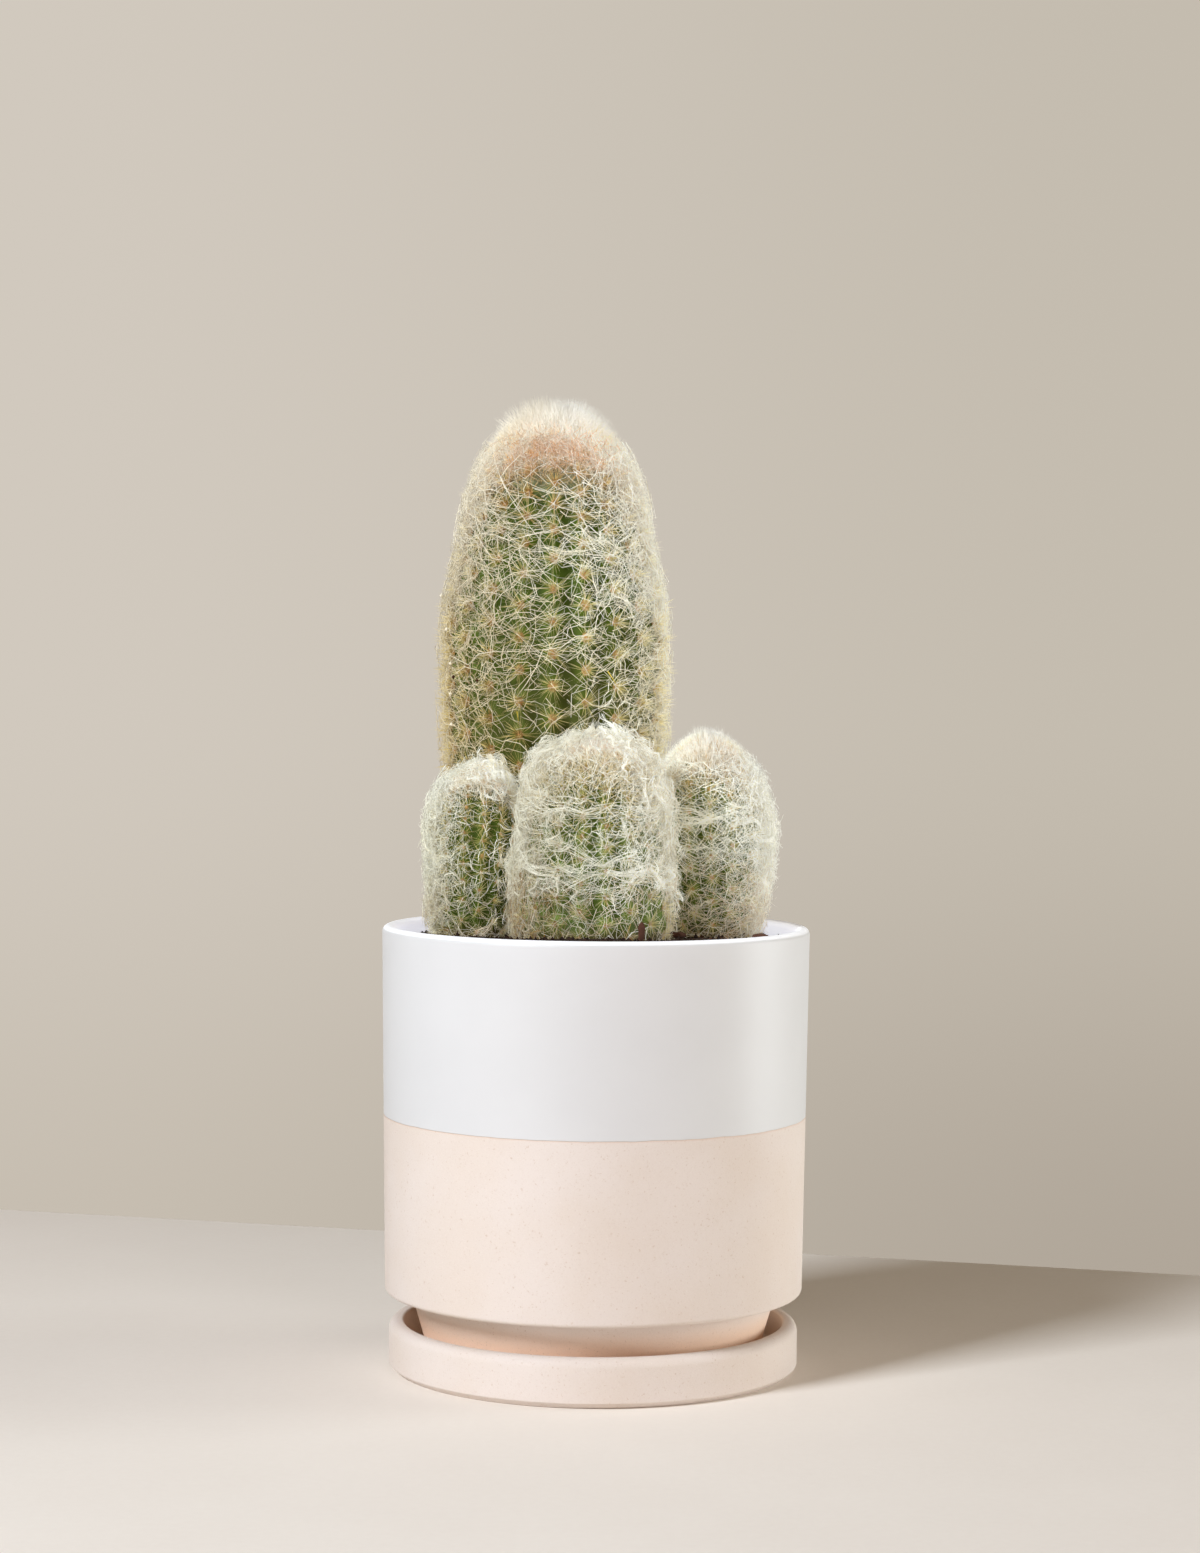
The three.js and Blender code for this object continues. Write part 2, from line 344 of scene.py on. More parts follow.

# %% [markdown]
# ## Stoneware
# The pot is slip-cast stoneware: a satin white glaze over the upper half and the inside, and the bare blush
# body below a crisp line. Both pot and saucer are round, so each is one outline turned about the axis. The
# outline is drawn finely at the lips, because that is where the light catches. The real glaze ends in a
# clean line without a step, so the change is made in the finish, by height, and not in the mesh. Between
# the white walls above the soil light is thrown back and forth more often than a render follows it, so the
# glaze there is painted whiter as painted light and has a weak glow, and the top of the rim has a painted
# highlight and a weaker glow.


# %% Turning an outline
def arc(centre, size, start, end, steps=10):
    """Points of a rounded corner between two angles, in degrees, as (radius, height)."""
    angles = np.radians(np.linspace(start, end, steps + 1))
    return [(centre[0] + size * math.cos(a), centre[1] + size * math.sin(a)) for a in angles]


def ring_quads(rings, steps, closed):
    """Quads between neighbouring rings of points, the last ring joined to the first if closed."""
    ring = np.arange(rings if closed else rings - 1)[:, None] * steps
    next_ring = (ring + steps) % (rings * steps)
    here = np.arange(steps)[None]
    there = (here + 1) % steps
    return np.stack([ring + here, ring + there, next_ring + there, next_ring + here], 2).reshape(-1, 4)


def tube(rings, first_end, last_end):
    """Rings of points, of shape (rings, steps, 3), skinned over and closed to a point at both ends. Seen
    from the last end the rings run anticlockwise."""
    count, steps, _ = rings.shape
    points = np.concatenate([rings.reshape(-1, 3), [first_end, last_end]])
    here = np.arange(steps)
    there = (here + 1) % steps
    last_ring = (count - 1) * steps
    first_fan = np.column_stack([np.full(steps, len(points) - 2), there, here])
    last_fan = np.column_stack([np.full(steps, len(points) - 1), last_ring + here, last_ring + there])
    return points, [ring_quads(count, steps, closed=False), first_fan, last_fan]


def circles(radii, steps):
    """x and y of this many points round each circle."""
    angles = np.linspace(0, 2 * math.pi, steps, endpoint=False)
    return np.outer(radii, np.cos(angles)), np.outer(radii, np.sin(angles))


def level_rings(outline, steps):
    """A level ring of points for each (radius, height) of an outline."""
    radii, heights = np.array(outline).T
    return np.stack([*circles(radii, steps), np.repeat(heights[:, None], steps, 1)], 2)


def turned(outline, steps, closed):
    """An outline of (radius, height) turned about Z. A closed one is a ring with a hole through it, and
    an open one starts and ends on the axis."""
    rings = level_rings(outline if closed else outline[1:-1], steps)
    if closed:
        return rings.reshape(-1, 3), [ring_quads(len(outline), steps, closed=True)]
    return tube(rings, (0, 0, outline[0][1]), (0, 0, outline[-1][1]))


def between(first, last, count):
    """This many points strictly between two, so that a long wall has rings of its own."""
    shares = np.linspace(0, 1, count + 2)[1:-1]
    return [tuple(np.array(first) * (1 - s) + np.array(last) * s) for s in shares]


ROUND_STEPS = 128  # points round the pot and the saucer

# %% The two stoneware finishes
GLAZE_LINE = 75.7  # height of the glaze's lower edge
GLAZE = colour(210, 209, 208)
GLAZE_CLOUD = colour(208, 207, 206)
# painted light: the inside and the top of the rim wear this whiter glaze
GLAZE_PAINTED_LIGHT = colour(250, 250, 250)
GLAZE_EDGE = colour(206, 164, 134)  # the clay is flashed darker along the glaze
INSIDE_RADII = (61.5, 59.5)  # the glaze turns from outside to inside between these, in the middle of the lip
INSIDE_HEIGHTS = (28, 40)  # and it is all there above the second of these
# a painted glow on the inside, for light thrown between the inner walls
INSIDE_PAINTED_GLOW = colour(202, 204, 216)
LIP_PAINTED_GLOW = 0.25  # the share of it that the top of the rim gets
LIP_DEPTHS = (1.3, 0.5)  # the painted highlight on the top of the rim starts and is full this far below its highest point
BARE = colour(220, 208, 199)
BARE_WARM = colour(217, 203, 191)
# painted warm bounce light in the shade of the foot and the saucer's channel
PEACH_PAINTED_BOUNCE = colour(252, 217, 188)
GROG = colour(184, 152, 124)
GRAIN_PALE = colour(232, 224, 216)
GRAIN_DARK = colour(196, 176, 160)
PAINTED_BOUNCE_RADII = (57, 54)  # the foot and the saucer's channel nearer the axis than this get a painted deeper peach, for bounced light in their shade
PAINTED_BOUNCE_HEIGHTS = (22, 12)  # and more so low down
pot_low, pot_top = box_of("pot")
rim_radius, rim_height = pot_top[0], pot_top[2]


def bare_clay(finish):
    """The colour and surface of unglazed stoneware: faint clouds, grog specks and a fine grain. The foot
    and the saucer's channel are painted a deeper peach, which stands for warm light bounced into their shade."""
    grain = finish.noise(0.5, 3, 0.7)
    specks = finish.noise(0.9, 2, 0.7).over(0.62, 0.74)
    tone = finish.mix(finish.noise(30, 3).over(0.3, 0.75), BARE, BARE_WARM)
    # painted warm bounce light: the shaded foot and the saucer's channel get a deeper peach
    painted_bounce = finish.distance().over(*PAINTED_BOUNCE_RADII) * finish.height().over(*PAINTED_BOUNCE_HEIGHTS)
    tone = finish.mix(painted_bounce, tone, PEACH_PAINTED_BOUNCE)
    tone = finish.mix(specks * 0.4, tone, GROG)
    tone = finish.mix(grain.over(0.55, 0.8) * 0.4, tone, GRAIN_PALE)
    tone = finish.mix(grain.over(0.45, 0.25) * 0.35, tone, GRAIN_DARK)
    return tone, grain - specks * 0.6


def stoneware(name, glazed_above=None):
    """Bare clay all over, or white glaze above a height, with painted light inside and on the rim's top."""
    finish = Finish(name, roughness=0.85, specular=0.35)
    tone, relief = bare_clay(finish)
    if glazed_above is None:
        finish.wear("Base Color", tone)
        finish.wear("Normal", finish.bump(relief, 0.10, 0.6))
        return finish
    wobble = finish.noise(9, 2) * 0.5 - 0.25
    edge = finish.height() + wobble - glazed_above
    glazed = edge.over(-0.12, 0.12)
    rim_of_glaze = edge.over(-0.7, 0.0) * (1 - glazed)
    tone = finish.mix(rim_of_glaze * 0.35, tone, GLAZE_EDGE)
    inside = finish.distance().over(*INSIDE_RADII) * finish.height().over(*INSIDE_HEIGHTS)
    glaze = finish.mix(finish.noise(25, 2).over(0.3, 0.7), GLAZE, GLAZE_CLOUD)
    # painted highlight on the top of the rim and painted light on the inside: both wear the whiter glaze
    painted_rim_light = finish.height().over(*[rim_height - depth for depth in LIP_DEPTHS])
    glaze = finish.mix(1 - (1 - inside) * (1 - painted_rim_light), glaze, GLAZE_PAINTED_LIGHT)
    finish.wear("Base Color", finish.mix(glazed, tone, glaze))
    finish.wear("Roughness", 0.85 - 0.43 * glazed + finish.noise(6, 3) * 0.06)
    finish.wear("Normal", finish.bump(relief * (1 - glazed) + 3.0 * glazed, 0.10, 0.6))
    # painted glow on the inside, and a weaker one on the top of the rim
    lit = inside + painted_rim_light * (1 - inside) * LIP_PAINTED_GLOW
    finish.wear("Emission Color", finish.mix(lit, BLACK, INSIDE_PAINTED_GLOW))
    finish.wear("Emission Strength", 1.0)
    return finish


saucer_finish = stoneware("blush_stoneware")
pot_finish = stoneware("half_glazed_stoneware", GLAZE_LINE)
print("stoneware finishes are mixed")

# %% Saucer
SAUCER_WALL = 4.4
SAUCER_FLOOR = 4.0
SAUCER_BEVEL = 1.8  # the chamfer under its wall: as wide as it is high
BEVEL_TOE = 0.4  # rounding of the bevel's lower edge
BEVEL_HEEL = 0.6  # and of its upper edge
HEEL_HEIGHT = 2.0  # where the wall over the bevel starts
LIP_OUTSIDE = 2.8  # the lip is well rounded outside and crisp inside
LIP_INSIDE = 0.8
SAUCER_CORNER = 2.0

_, saucer_top = box_of("saucer")
saucer_radius, saucer_height = saucer_top[0], saucer_top[2]
inside_radius = saucer_radius - SAUCER_WALL
bevel_radius = saucer_radius - SAUCER_BEVEL
lip_height = saucer_height - LIP_OUTSIDE
corner_radius = inside_radius - SAUCER_CORNER
saucer_outline = [
    (0, 0),
    *between((0, 0), (bevel_radius - BEVEL_TOE, 0), 3),
    *arc((bevel_radius - BEVEL_TOE, BEVEL_TOE), BEVEL_TOE, -90, -45, 3),
    *arc((saucer_radius - BEVEL_HEEL, HEEL_HEIGHT), BEVEL_HEEL, -45, 0, 4),
    *between((saucer_radius, HEEL_HEIGHT + 0.2), (saucer_radius, lip_height), 3),
    *arc((saucer_radius - LIP_OUTSIDE, lip_height), LIP_OUTSIDE, 0, 90, 10),
    *arc((inside_radius + LIP_INSIDE, saucer_height - LIP_INSIDE), LIP_INSIDE, 90, 180, 6),
    *arc((corner_radius, SAUCER_FLOOR + SAUCER_CORNER), SAUCER_CORNER, 0, -90, 8),
    *between((corner_radius, SAUCER_FLOOR), (0, SAUCER_FLOOR), 3),
    (0, SAUCER_FLOOR),
]
points, faces = turned(saucer_outline, ROUND_STEPS, closed=False)
saucer = mesh_object("saucer_stoneware", points, faces, saucer_finish, sharp_degrees=40)
piece("saucer_stoneware", saucer, ["saucer"])

# %% Pot
POT_WALL = 4.0
UNDERSIDE = 23.0  # height of the body's underside, over the saucer's rim
BASE_RADIUS = 62.1
FOOT_TOP_RADIUS = 54.2
FOOT_RADIUS = 50.0
FOOT_EDGE = 4.5  # rounding of the foot's lower edge
FOOT_RING = 8.0
FOOT_RECESS = 2.0
POT_FLOOR = 3.5
SHOULDER = 27.0  # inside height of the step above the foot
WELL_RADIUS = 46.5
WELL_TOP_RADIUS = 49.0
DRAIN_RADIUS = 6.5
LOWER_EDGE = 1.4
INSIDE_CORNER = 4.0
NECK = 1.2  # fillet between the foot and the underside
DRAIN_CHAMFER = 0.5
RING_SLOPE = 1.0  # how far the foot ring's inner side leans

foot = pot_low[2]
recess = foot + FOOT_RECESS
lip = POT_WALL / 2
ring_radius = FOOT_RADIUS - FOOT_RING
foot_slope = math.degrees(math.atan((FOOT_TOP_RADIUS - FOOT_RADIUS) / (UNDERSIDE - foot)))
wall_bottom = (BASE_RADIUS, UNDERSIDE + LOWER_EDGE)
wall_top = (rim_radius, rim_height - lip)
inside_base = BASE_RADIUS - POT_WALL
inside_bottom = (inside_base, SHOULDER + INSIDE_CORNER)
pot_outline = [
    (DRAIN_RADIUS, recess + DRAIN_CHAMFER),
    (DRAIN_RADIUS + DRAIN_CHAMFER, recess),
    (ring_radius, recess),
    (ring_radius + RING_SLOPE, foot),
    *arc((FOOT_RADIUS - FOOT_EDGE, foot + FOOT_EDGE), FOOT_EDGE, -90, -foot_slope, 10),
    *arc((FOOT_TOP_RADIUS + NECK, UNDERSIDE - NECK), NECK, 180 - foot_slope, 90, 5),
    *arc((BASE_RADIUS - LOWER_EDGE, wall_bottom[1]), LOWER_EDGE, -90, 0, 10),
    *between(wall_bottom, wall_top, 20),
    *arc((rim_radius - lip, rim_height - lip), lip, 0, 180, 18),
    *between((rim_radius - POT_WALL, wall_top[1]), inside_bottom, 6),
    *arc((inside_base - INSIDE_CORNER, inside_bottom[1]), INSIDE_CORNER, 0, -90, 6),
    (WELL_TOP_RADIUS, SHOULDER),
    (WELL_RADIUS, recess + POT_FLOOR),
    (DRAIN_RADIUS, recess + POT_FLOOR),
]
points, faces = turned(pot_outline, ROUND_STEPS, closed=True)
pot = mesh_object("two_tone_pot", points, faces, pot_finish, sharp_degrees=40)
piece("two_tone_pot", pot, ["pot"])

# %% [markdown]
# ## Soil
# Potting mix is dark peat with crumbs, fibres and flakes of bark. Seen over the rim it is only a thin dark
# line, but from above it fills the pot. A round sheet of small hills is closed down the inside of the pot,
# and loose crumbs lie on it. Hills come from a few waves with mixed directions, which are cheap, smooth
# and always the same.

# %% Rolling ground from waves
SOIL_FALL = 0.045  # the soil is banked against the front of the pot
SOIL_BANK = 0.7  # and a little more so close to the front lip
BANK_FROM, BANK_TO = 34, 50  # where the bank starts, and where it is full
SOIL_GAP = 0.3  # room between soil and pot
HILLS = [(0.30, 22, 6, 1), (0.30, 5, 8, 2), (0.18, 1.9, 8, 3)]  # height, size, number of waves and seed
soil_low, soil_high = box_of("potting_soil")
soil_radius = rim_radius - POT_WALL - SOIL_GAP
soil_level = soil_high[2] - SOIL_FALL * soil_radius


def smoothstep(value, low, high):
    share = np.clip((value - low) / (high - low), 0, 1)
    return share * share * (3 - 2 * share)


def waves(x, y, size, count, seed):
    """Smooth hills between about -1 and 1, this many millimetres across."""
    random = np.random.default_rng(seed)
    total = np.zeros_like(x)
    for _ in range(count):
        heading = random.uniform(0, 2 * math.pi)
        length = size * random.uniform(0.6, 1.7)
        phase = random.uniform(0, 2 * math.pi)
        total += np.sin((x * math.cos(heading) + y * math.sin(heading)) * 2 * math.pi / length + phase)
    return total / math.sqrt(count)


def soil_height(x, y):
    """The soil's surface: a slope, a bank, and low hills, lumps and grit, pressed flatter on the bank."""
    hills = sum(height * waves(x, y, *rest) for height, *rest in HILLS)
    banked = smoothstep(-y, BANK_FROM, BANK_TO)
    return soil_level - SOIL_FALL * y + SOIL_BANK * banked + hills * (1 - 0.5 * banked)


print(f"soil level {soil_level:.1f} mm")

# %% Soil body
SOIL_RINGS = 46
SOIL_STEPS = 120
PEAT_DARK = colour(30, 21, 16)
PEAT = colour(66, 46, 34)
BARK_DUST = colour(104, 66, 44)
soil_finish = Finish("peat_soil", roughness=0.95, specular=0.2)
fibres = soil_finish.noise(1.2, 4, 0.7)
tone = soil_finish.mix(fibres.over(0.35, 0.7), PEAT_DARK, PEAT)
tone = soil_finish.mix(soil_finish.noise(3.5, 2).over(0.62, 0.7) * 0.7, tone, BARK_DUST)
soil_finish.wear("Base Color", tone)
soil_finish.wear("Normal", soil_finish.bump(fibres, 0.5))

x, y = circles(soil_radius * np.linspace(1, 0, SOIL_RINGS, endpoint=False) ** 0.8, SOIL_STEPS)
surface_rings = np.stack([x, y, soil_height(x, y)], 2)
buried = [
    (WELL_RADIUS - SOIL_GAP, soil_low[2]),
    (WELL_TOP_RADIUS - SOIL_GAP, SHOULDER + SOIL_GAP),
    (inside_base - INSIDE_CORNER, SHOULDER + SOIL_GAP),
    (inside_base - SOIL_GAP, inside_bottom[1] + SOIL_GAP),
]
rings = np.concatenate([level_rings(buried, SOIL_STEPS), surface_rings])
centre_height = soil_height(np.zeros(1), np.zeros(1))[0]
points, faces = tube(rings, (0, 0, soil_low[2]), (0, 0, centre_height))
soil = mesh_object("soil_bed", points, faces, soil_finish)
piece("soil_bed", soil, ["potting_soil"])

# %% Crumbs
CRUMB = np.array([(1, 0, 0), (0, 1, 0), (-1, 0, 0), (0, -1, 0), (0, 0, 1), (0, 0, -1.0)])
CRUMB_FACES = np.array([[(a, b, 4) for a, b in ((0, 1), (1, 2), (2, 3), (3, 0))],
                        [(b, a, 5) for a, b in ((0, 1), (1, 2), (2, 3), (3, 0))]]).reshape(-1, 3)
CRUMBS = 800
CRUMB_ROOM = 1.5  # crumbs keep this far from the soil's edge


def copies(shape, shape_faces, turns, sizes, places):
    """Many copies of a small shape, each turned about Z, scaled along its own axes and put in its place."""
    cosine, sine = np.cos(turns)[:, None], np.sin(turns)[:, None]
    points = shape[None] * sizes[:, None]
    x = points[..., 0] * cosine - points[..., 1] * sine
    y = points[..., 0] * sine + points[..., 1] * cosine
    points = np.stack([x, y, points[..., 2]], 2) + places[:, None]
    faces = shape_faces[None] + len(shape) * np.arange(len(places))[:, None, None]
    return points.reshape(-1, 3), faces.reshape(-1, shape_faces.shape[1])


random = np.random.default_rng(5)
angle = random.uniform(0, 2 * math.pi, CRUMBS)
radius = (soil_radius - CRUMB_ROOM) * random.random(CRUMBS) ** 0.5
x, y = radius * np.cos(angle), radius * np.sin(angle)
sizes = random.uniform(0.25, 0.9, (CRUMBS, 1)) * random.uniform(0.5, 1.3, (CRUMBS, 3))
places = np.column_stack([x, y, soil_height(x, y) + 0.3 * sizes.T[2]])
points, faces = copies(CRUMB, CRUMB_FACES, random.uniform(0, 6.28, CRUMBS), sizes, places)
crumbs = mesh_object("soil_crumbs", points, [faces], soil_finish, sharp_degrees=20)
piece("soil_crumbs", crumbs)

# %% [markdown]
# ## The four stems
# A stem is a ribbed column. Everything that grows on it is placed by two numbers: the angle round the axis
# and the distance along its outline from the crown. `Stem` reads the axis and the outline from the packed
# solid and gives, for any such place, the point, the outward normal and the directions round and up. Hair
# then only has to be thought out on a flat patch. The four stems differ in a few numbers: the tall one has
# the most ribs and a blush under its crown, and the fleece of the front and left ones is the most tufted.


# %% A smooth curve through knots
def smooth_curve(knots, steps):
    """A Catmull-Rom curve through the knots, which are rows of numbers. The first and last only steer."""
    t = np.linspace(0, 1, steps, endpoint=False)[:, None]
    stretches = []
    for a, b, c, d in zip(knots, knots[1:], knots[2:], knots[3:], strict=False):
        bend = (2 * a - 5 * b + 4 * c - d) * t**2 + (3 * b - a - 3 * c + d) * t**3
        stretches.append((2 * b + (c - a) * t + bend) / 2)
    return np.concatenate([*stretches, knots[-2:-1]])


# %% Outline and surface of a stem
class Stem:
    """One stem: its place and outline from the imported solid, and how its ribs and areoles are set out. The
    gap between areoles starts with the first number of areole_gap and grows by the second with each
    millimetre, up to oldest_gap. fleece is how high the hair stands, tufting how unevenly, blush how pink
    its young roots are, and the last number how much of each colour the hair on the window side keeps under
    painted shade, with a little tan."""

    def __init__(self, node, ribs, rib_depth, areole_gap, oldest_gap, fleece, tufting, blush, tan_and_shade):
        self.node, self.ribs, self.rib_depth = node, ribs, rib_depth
        self.fleece, self.tufting, self.blush, self.tan_and_shade = fleece, tufting, blush, tan_and_shade
        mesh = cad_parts[node].data
        points = np.empty(len(mesh.vertices) * 3, np.float32)
        mesh.vertices.foreach_get("co", points)
        points = points.reshape(-1, 3).astype(float) / MM
        self.crown = points[points[:, 2].argmax()]
        root = points[points[:, 2].argmin()]
        self.axis = (self.crown - root) / np.linalg.norm(self.crown - root)
        across = np.array([1.0, 0, 0]) - self.axis[0] * self.axis
        self.across = across / np.linalg.norm(across)
        self.deep = np.cross(self.axis, self.across)
        self.read_outline(points)
        buried = self.crown[2] - soil_level + SOIL_FALL * self.crown[1]
        self.soil = float(np.interp(buried, self.outline_below, self.along))
        self.set_out_areoles(areole_gap, oldest_gap)

    def from_axis(self, points):
        """How far below the crown points are, and the way to each straight out from the axis."""
        below = -((points - self.crown) @ self.axis)
        return below, points - self.crown + below[:, None] * self.axis

    def read_outline(self, points):
        """The rib crests' outline, from the crown down to the root's tip."""
        below, outwards = self.from_axis(points)
        radius = np.linalg.norm(outwards, axis=1)
        rows = np.unique(np.round(below, 1))
        knots = np.array([(radius[abs(below - row) < 0.1].max(), row) for row in rows])
        mirrored = knots[[1, -2]] * [-1, 1]
        curve = smooth_curve(np.concatenate([mirrored[:1], knots, mirrored[1:]]), 30)
        steps = np.linalg.norm(np.diff(curve, axis=0), axis=1)
        self.along = np.concatenate([[0], np.cumsum(steps)])
        self.outline_radius, self.outline_below = np.maximum(curve.T[0], 0), curve.T[1]
        self.slope_radius = np.gradient(curve.T[0], self.along)
        self.slope_below = np.gradient(curve.T[1], self.along)

    def set_out_areoles(self, areole_gap, oldest_gap):
        """Areoles crowd together at the crown and spread out as the stem ages below it."""
        gaps = np.minimum(areole_gap[0] + areole_gap[1] * self.along, oldest_gap)
        rows = np.cumsum(np.diff(self.along, prepend=0) / gaps)
        self.row_numbers = rows
        angles, lengths = [], []
        for rib in range(self.ribs):
            numbers = np.arange(1, int(rows[-1])) + 0.5 * (rib % 2)
            places = np.interp(numbers, rows, self.along)
            places = places[places < self.soil + 1]
            angles.append(np.full(len(places), 2 * math.pi * rib / self.ribs))
            lengths.append(places)
        self.areole_angle = np.concatenate(angles)
        self.areole_length = np.concatenate(lengths)

    def at(self, angle, length, lift=0.0, ribbed=False):
        """Points on the stem, lifted off its skin, with the normal and the directions round and up. The
        hair ignores the ribs, and only the skin asks for them."""
        rows = (self.outline_radius, self.outline_below, self.slope_radius, self.slope_below)
        radius, below, upwards, outwards = [np.interp(length, self.along, row) for row in rows]
        size = np.hypot(outwards, upwards)
        outwards, upwards = (outwards / size)[..., None], (upwards / size)[..., None]
        if ribbed:
            radius = radius + self.ribs_at(angle, length, radius)
        radial = np.cos(angle)[..., None] * self.across + np.sin(angle)[..., None] * self.deep
        around = np.cos(angle)[..., None] * self.deep - np.sin(angle)[..., None] * self.across
        normal = radial * outwards + self.axis * upwards
        up = self.axis * outwards - radial * upwards
        points = self.crown - below[..., None] * self.axis + radial * radius[..., None]
        points = points + normal * np.broadcast_to(np.asarray(lift, float), radius.shape)[..., None]
        return points, normal, around, up

    def from_areoles(self, each, lift):
        """Where each areole's hairs start, this many on every one, and what at() says of those places."""
        angle, length = np.repeat(self.areole_angle, each), np.repeat(self.areole_length, each)
        return angle, length, *self.at(angle, length, lift)

    def relief(self, angle, length):
        """The furrow between ribs and the swelling under an areole, each from 0 to 1."""
        turn = angle * self.ribs / (2 * math.pi)
        furrow = 0.5 - 0.5 * np.cos(2 * math.pi * turn)
        shift = 0.5 * (np.round(turn) % 2)
        rows = np.interp(length, self.along, self.row_numbers)
        return furrow, 0.5 + 0.5 * np.cos(2 * math.pi * (rows - shift))

    def ribs_at(self, angle, length, radius):
        """How far the skin stands off the outline, or, where this is negative, back from it."""
        furrow, swelling = self.relief(angle, length)
        share = smoothstep(length, 0.05 * self.soil, 0.3 * self.soil)
        share = share * (1 - smoothstep(length, 0.85 * self.soil, self.soil))
        swell_size = 0.045 * radius * (1 - furrow) ** 2 * (swelling - 1)
        return share * (swell_size - self.rib_depth * radius * furrow)

    def tufts(self, angle, length):
        """Fleece gathers in loose tufts, so from place to place it stands taller or lower than its height."""
        broad = np.sin(3 * angle + 0.9 * np.sin(length / 5))
        small = np.sin(length / 1.9 + 2.2 * np.sin(2 * angle)) * np.sin(7 * angle + length / 3.1)
        return 1 + self.tufting * (0.16 * broad + 0.3 * small)

    def age(self, length):
        """How far down the stem a place is: 0 at the crown and 1 at the soil."""
        return length / self.soil


# Each stem's ribs and their depth, gaps between areoles, fleece, tufting, blush, and the painted shade
# with a little tan on its window side.
stems = {
    "tall": Stem("tall_stem", 20, 0.10, (1.8, 0.13), 9.6, 4.4, 0.25, 1.0, (0.74, 0.67, 0.56, 1.0)),
    "front": Stem("front_stem", 18, 0.09, (1.9, 0.11), 8.0, 3.4, 1.0, 0.4, (0.80, 0.78, 0.71, 1.0)),
    "right": Stem("right_stem", 16, 0.09, (1.8, 0.10), 7.5, 2.6, 0.4, 0.0, (0.95, 0.94, 0.88, 1.0)),
    "left": Stem("left_stem", 14, 0.09, (1.8, 0.09), 6.5, 3.2, 1.0, 0.0, (0.82, 0.81, 0.74, 1.0)),
}
for name, stem in stems.items():
    print(f"{name}: {stem.soil:.0f} mm from crown to soil, {len(stem.areole_angle)} areoles")

# %% [markdown]
# ## Skin
# Under the hair the stem is green and waxy, with painted shade that makes it darker in the furrows and
# between the swellings that carry the areoles, and paler on the swellings. The newest growth at the crown is
# pale and felted, and the oldest turns brown and corky: all of it at the soil, and a little of it down the
# tall stem. The colour is worked out for each point of the mesh from the same two numbers as the shape, and
# the finish adds fine mottling to it.

# %% Skin finish
SKIN_GREEN = colour(106, 132, 38)
SKIN_FRESH = colour(146, 174, 78)
# the painted shade in the furrows, and the dark of the mottling
SKIN_SHADE_AND_MOTTLE = colour(50, 66, 14)
SKIN_YOUNG = colour(238, 230, 206)
SKIN_OLD = colour(104, 84, 54)


def tinted(name, roughness, specular):
    """A finish whose colour is painted on the mesh as the attribute named tint."""
    finish = Finish(name, roughness, specular)
    return finish, finish.node("ShaderNodeVertexColor", {"layer_name": "tint"}, {}, "Color")


skin_finish, painted = tinted("cactus_skin", roughness=0.6, specular=0.15)
mottling = skin_finish.noise(1.6, 3)
skin_finish.wear("Base Color", skin_finish.mix(mottling * 0.35, painted, SKIN_SHADE_AND_MOTTLE))
skin_finish.wear("Normal", skin_finish.bump(skin_finish.noise(0.8, 2), 0.08))


def blend(first, second, share):
    """Colours or vectors mixed point by point."""
    share = np.asarray(share)[..., None]
    return np.asarray(first) * (1 - share) + np.asarray(second) * share


# %% Skin mesh
STEPS_PER_RIB = 6


def skin_mesh(name, rows, green):
    """A stem's skin with ribs and swellings, from the crown to the root's tip, in this many rows."""
    stem = stems[name]
    above_soil = np.linspace(0, stem.soil, rows)[1:]
    below_soil = np.linspace(stem.soil, stem.along[-1], 8)[1:-1]
    around = np.linspace(0, 2 * math.pi, stem.ribs * STEPS_PER_RIB, endpoint=False)
    angle, length = np.meshgrid(around, np.concatenate([above_soil, below_soil]))
    rings, *_ = stem.at(angle, length, ribbed=True)
    furrow, swelling = stem.relief(angle, length)
    # painted shade: darker in the furrows and between the swellings, paler on the swellings
    clear_of_painted_shade = (1 - furrow) * (0.15 + 0.85 * swelling)
    tints = blend(SKIN_SHADE_AND_MOTTLE, green, 0.15 + 0.85 * clear_of_painted_shade)
    tints = blend(tints, SKIN_YOUNG, 1 - smoothstep(stem.age(length), 0.10, 0.24))
    corky = np.maximum(smoothstep(stem.age(length), 0.9, 1), 0.3 * smoothstep(length, 60, 120))
    tints = blend(tints, SKIN_OLD, corky)
    root = stem.crown - stem.outline_below[-1] * stem.axis
    points, faces = tube(rings[::-1], root, stem.crown)
    tints = np.concatenate([tints[::-1].reshape(-1, 4), [SKIN_OLD, SKIN_YOUNG]])
    made = mesh_object(f"{name}_skin", points, faces, skin_finish, tints=tints)
    piece(f"{name}_skin", made, [stem.node])


skin_mesh("tall", 90, SKIN_GREEN)
skin_mesh("front", 44, SKIN_FRESH)
skin_mesh("right", 42, SKIN_FRESH)
skin_mesh("left", 38, SKIN_GREEN)

# %% [markdown]
# ## Hair as mesh
# A hair is far thinner than anything else here, and there are tens of thousands, so each must be cheap.
# Every hair is a closed three-sided needle that ends in a point: four triangles when it is straight, and
# six more for each bend. `needles` takes a whole array of centre lines, one row for each hair, so thousands
# are made in one step. Every point carries its own tint. Real hair is clear, and light that enters a fleece
# goes on from fibre to fibre, so a fleece is bright where a solid would be in shade, and dark only down at
# the skin. A weak glow stands for that: how much of it a point gets rides in the tint's alpha.


# %% Needles
def unit(vectors):
    """The same directions, one long."""
    return vectors / np.maximum(np.linalg.norm(vectors, axis=-1, keepdims=True), 1e-9)


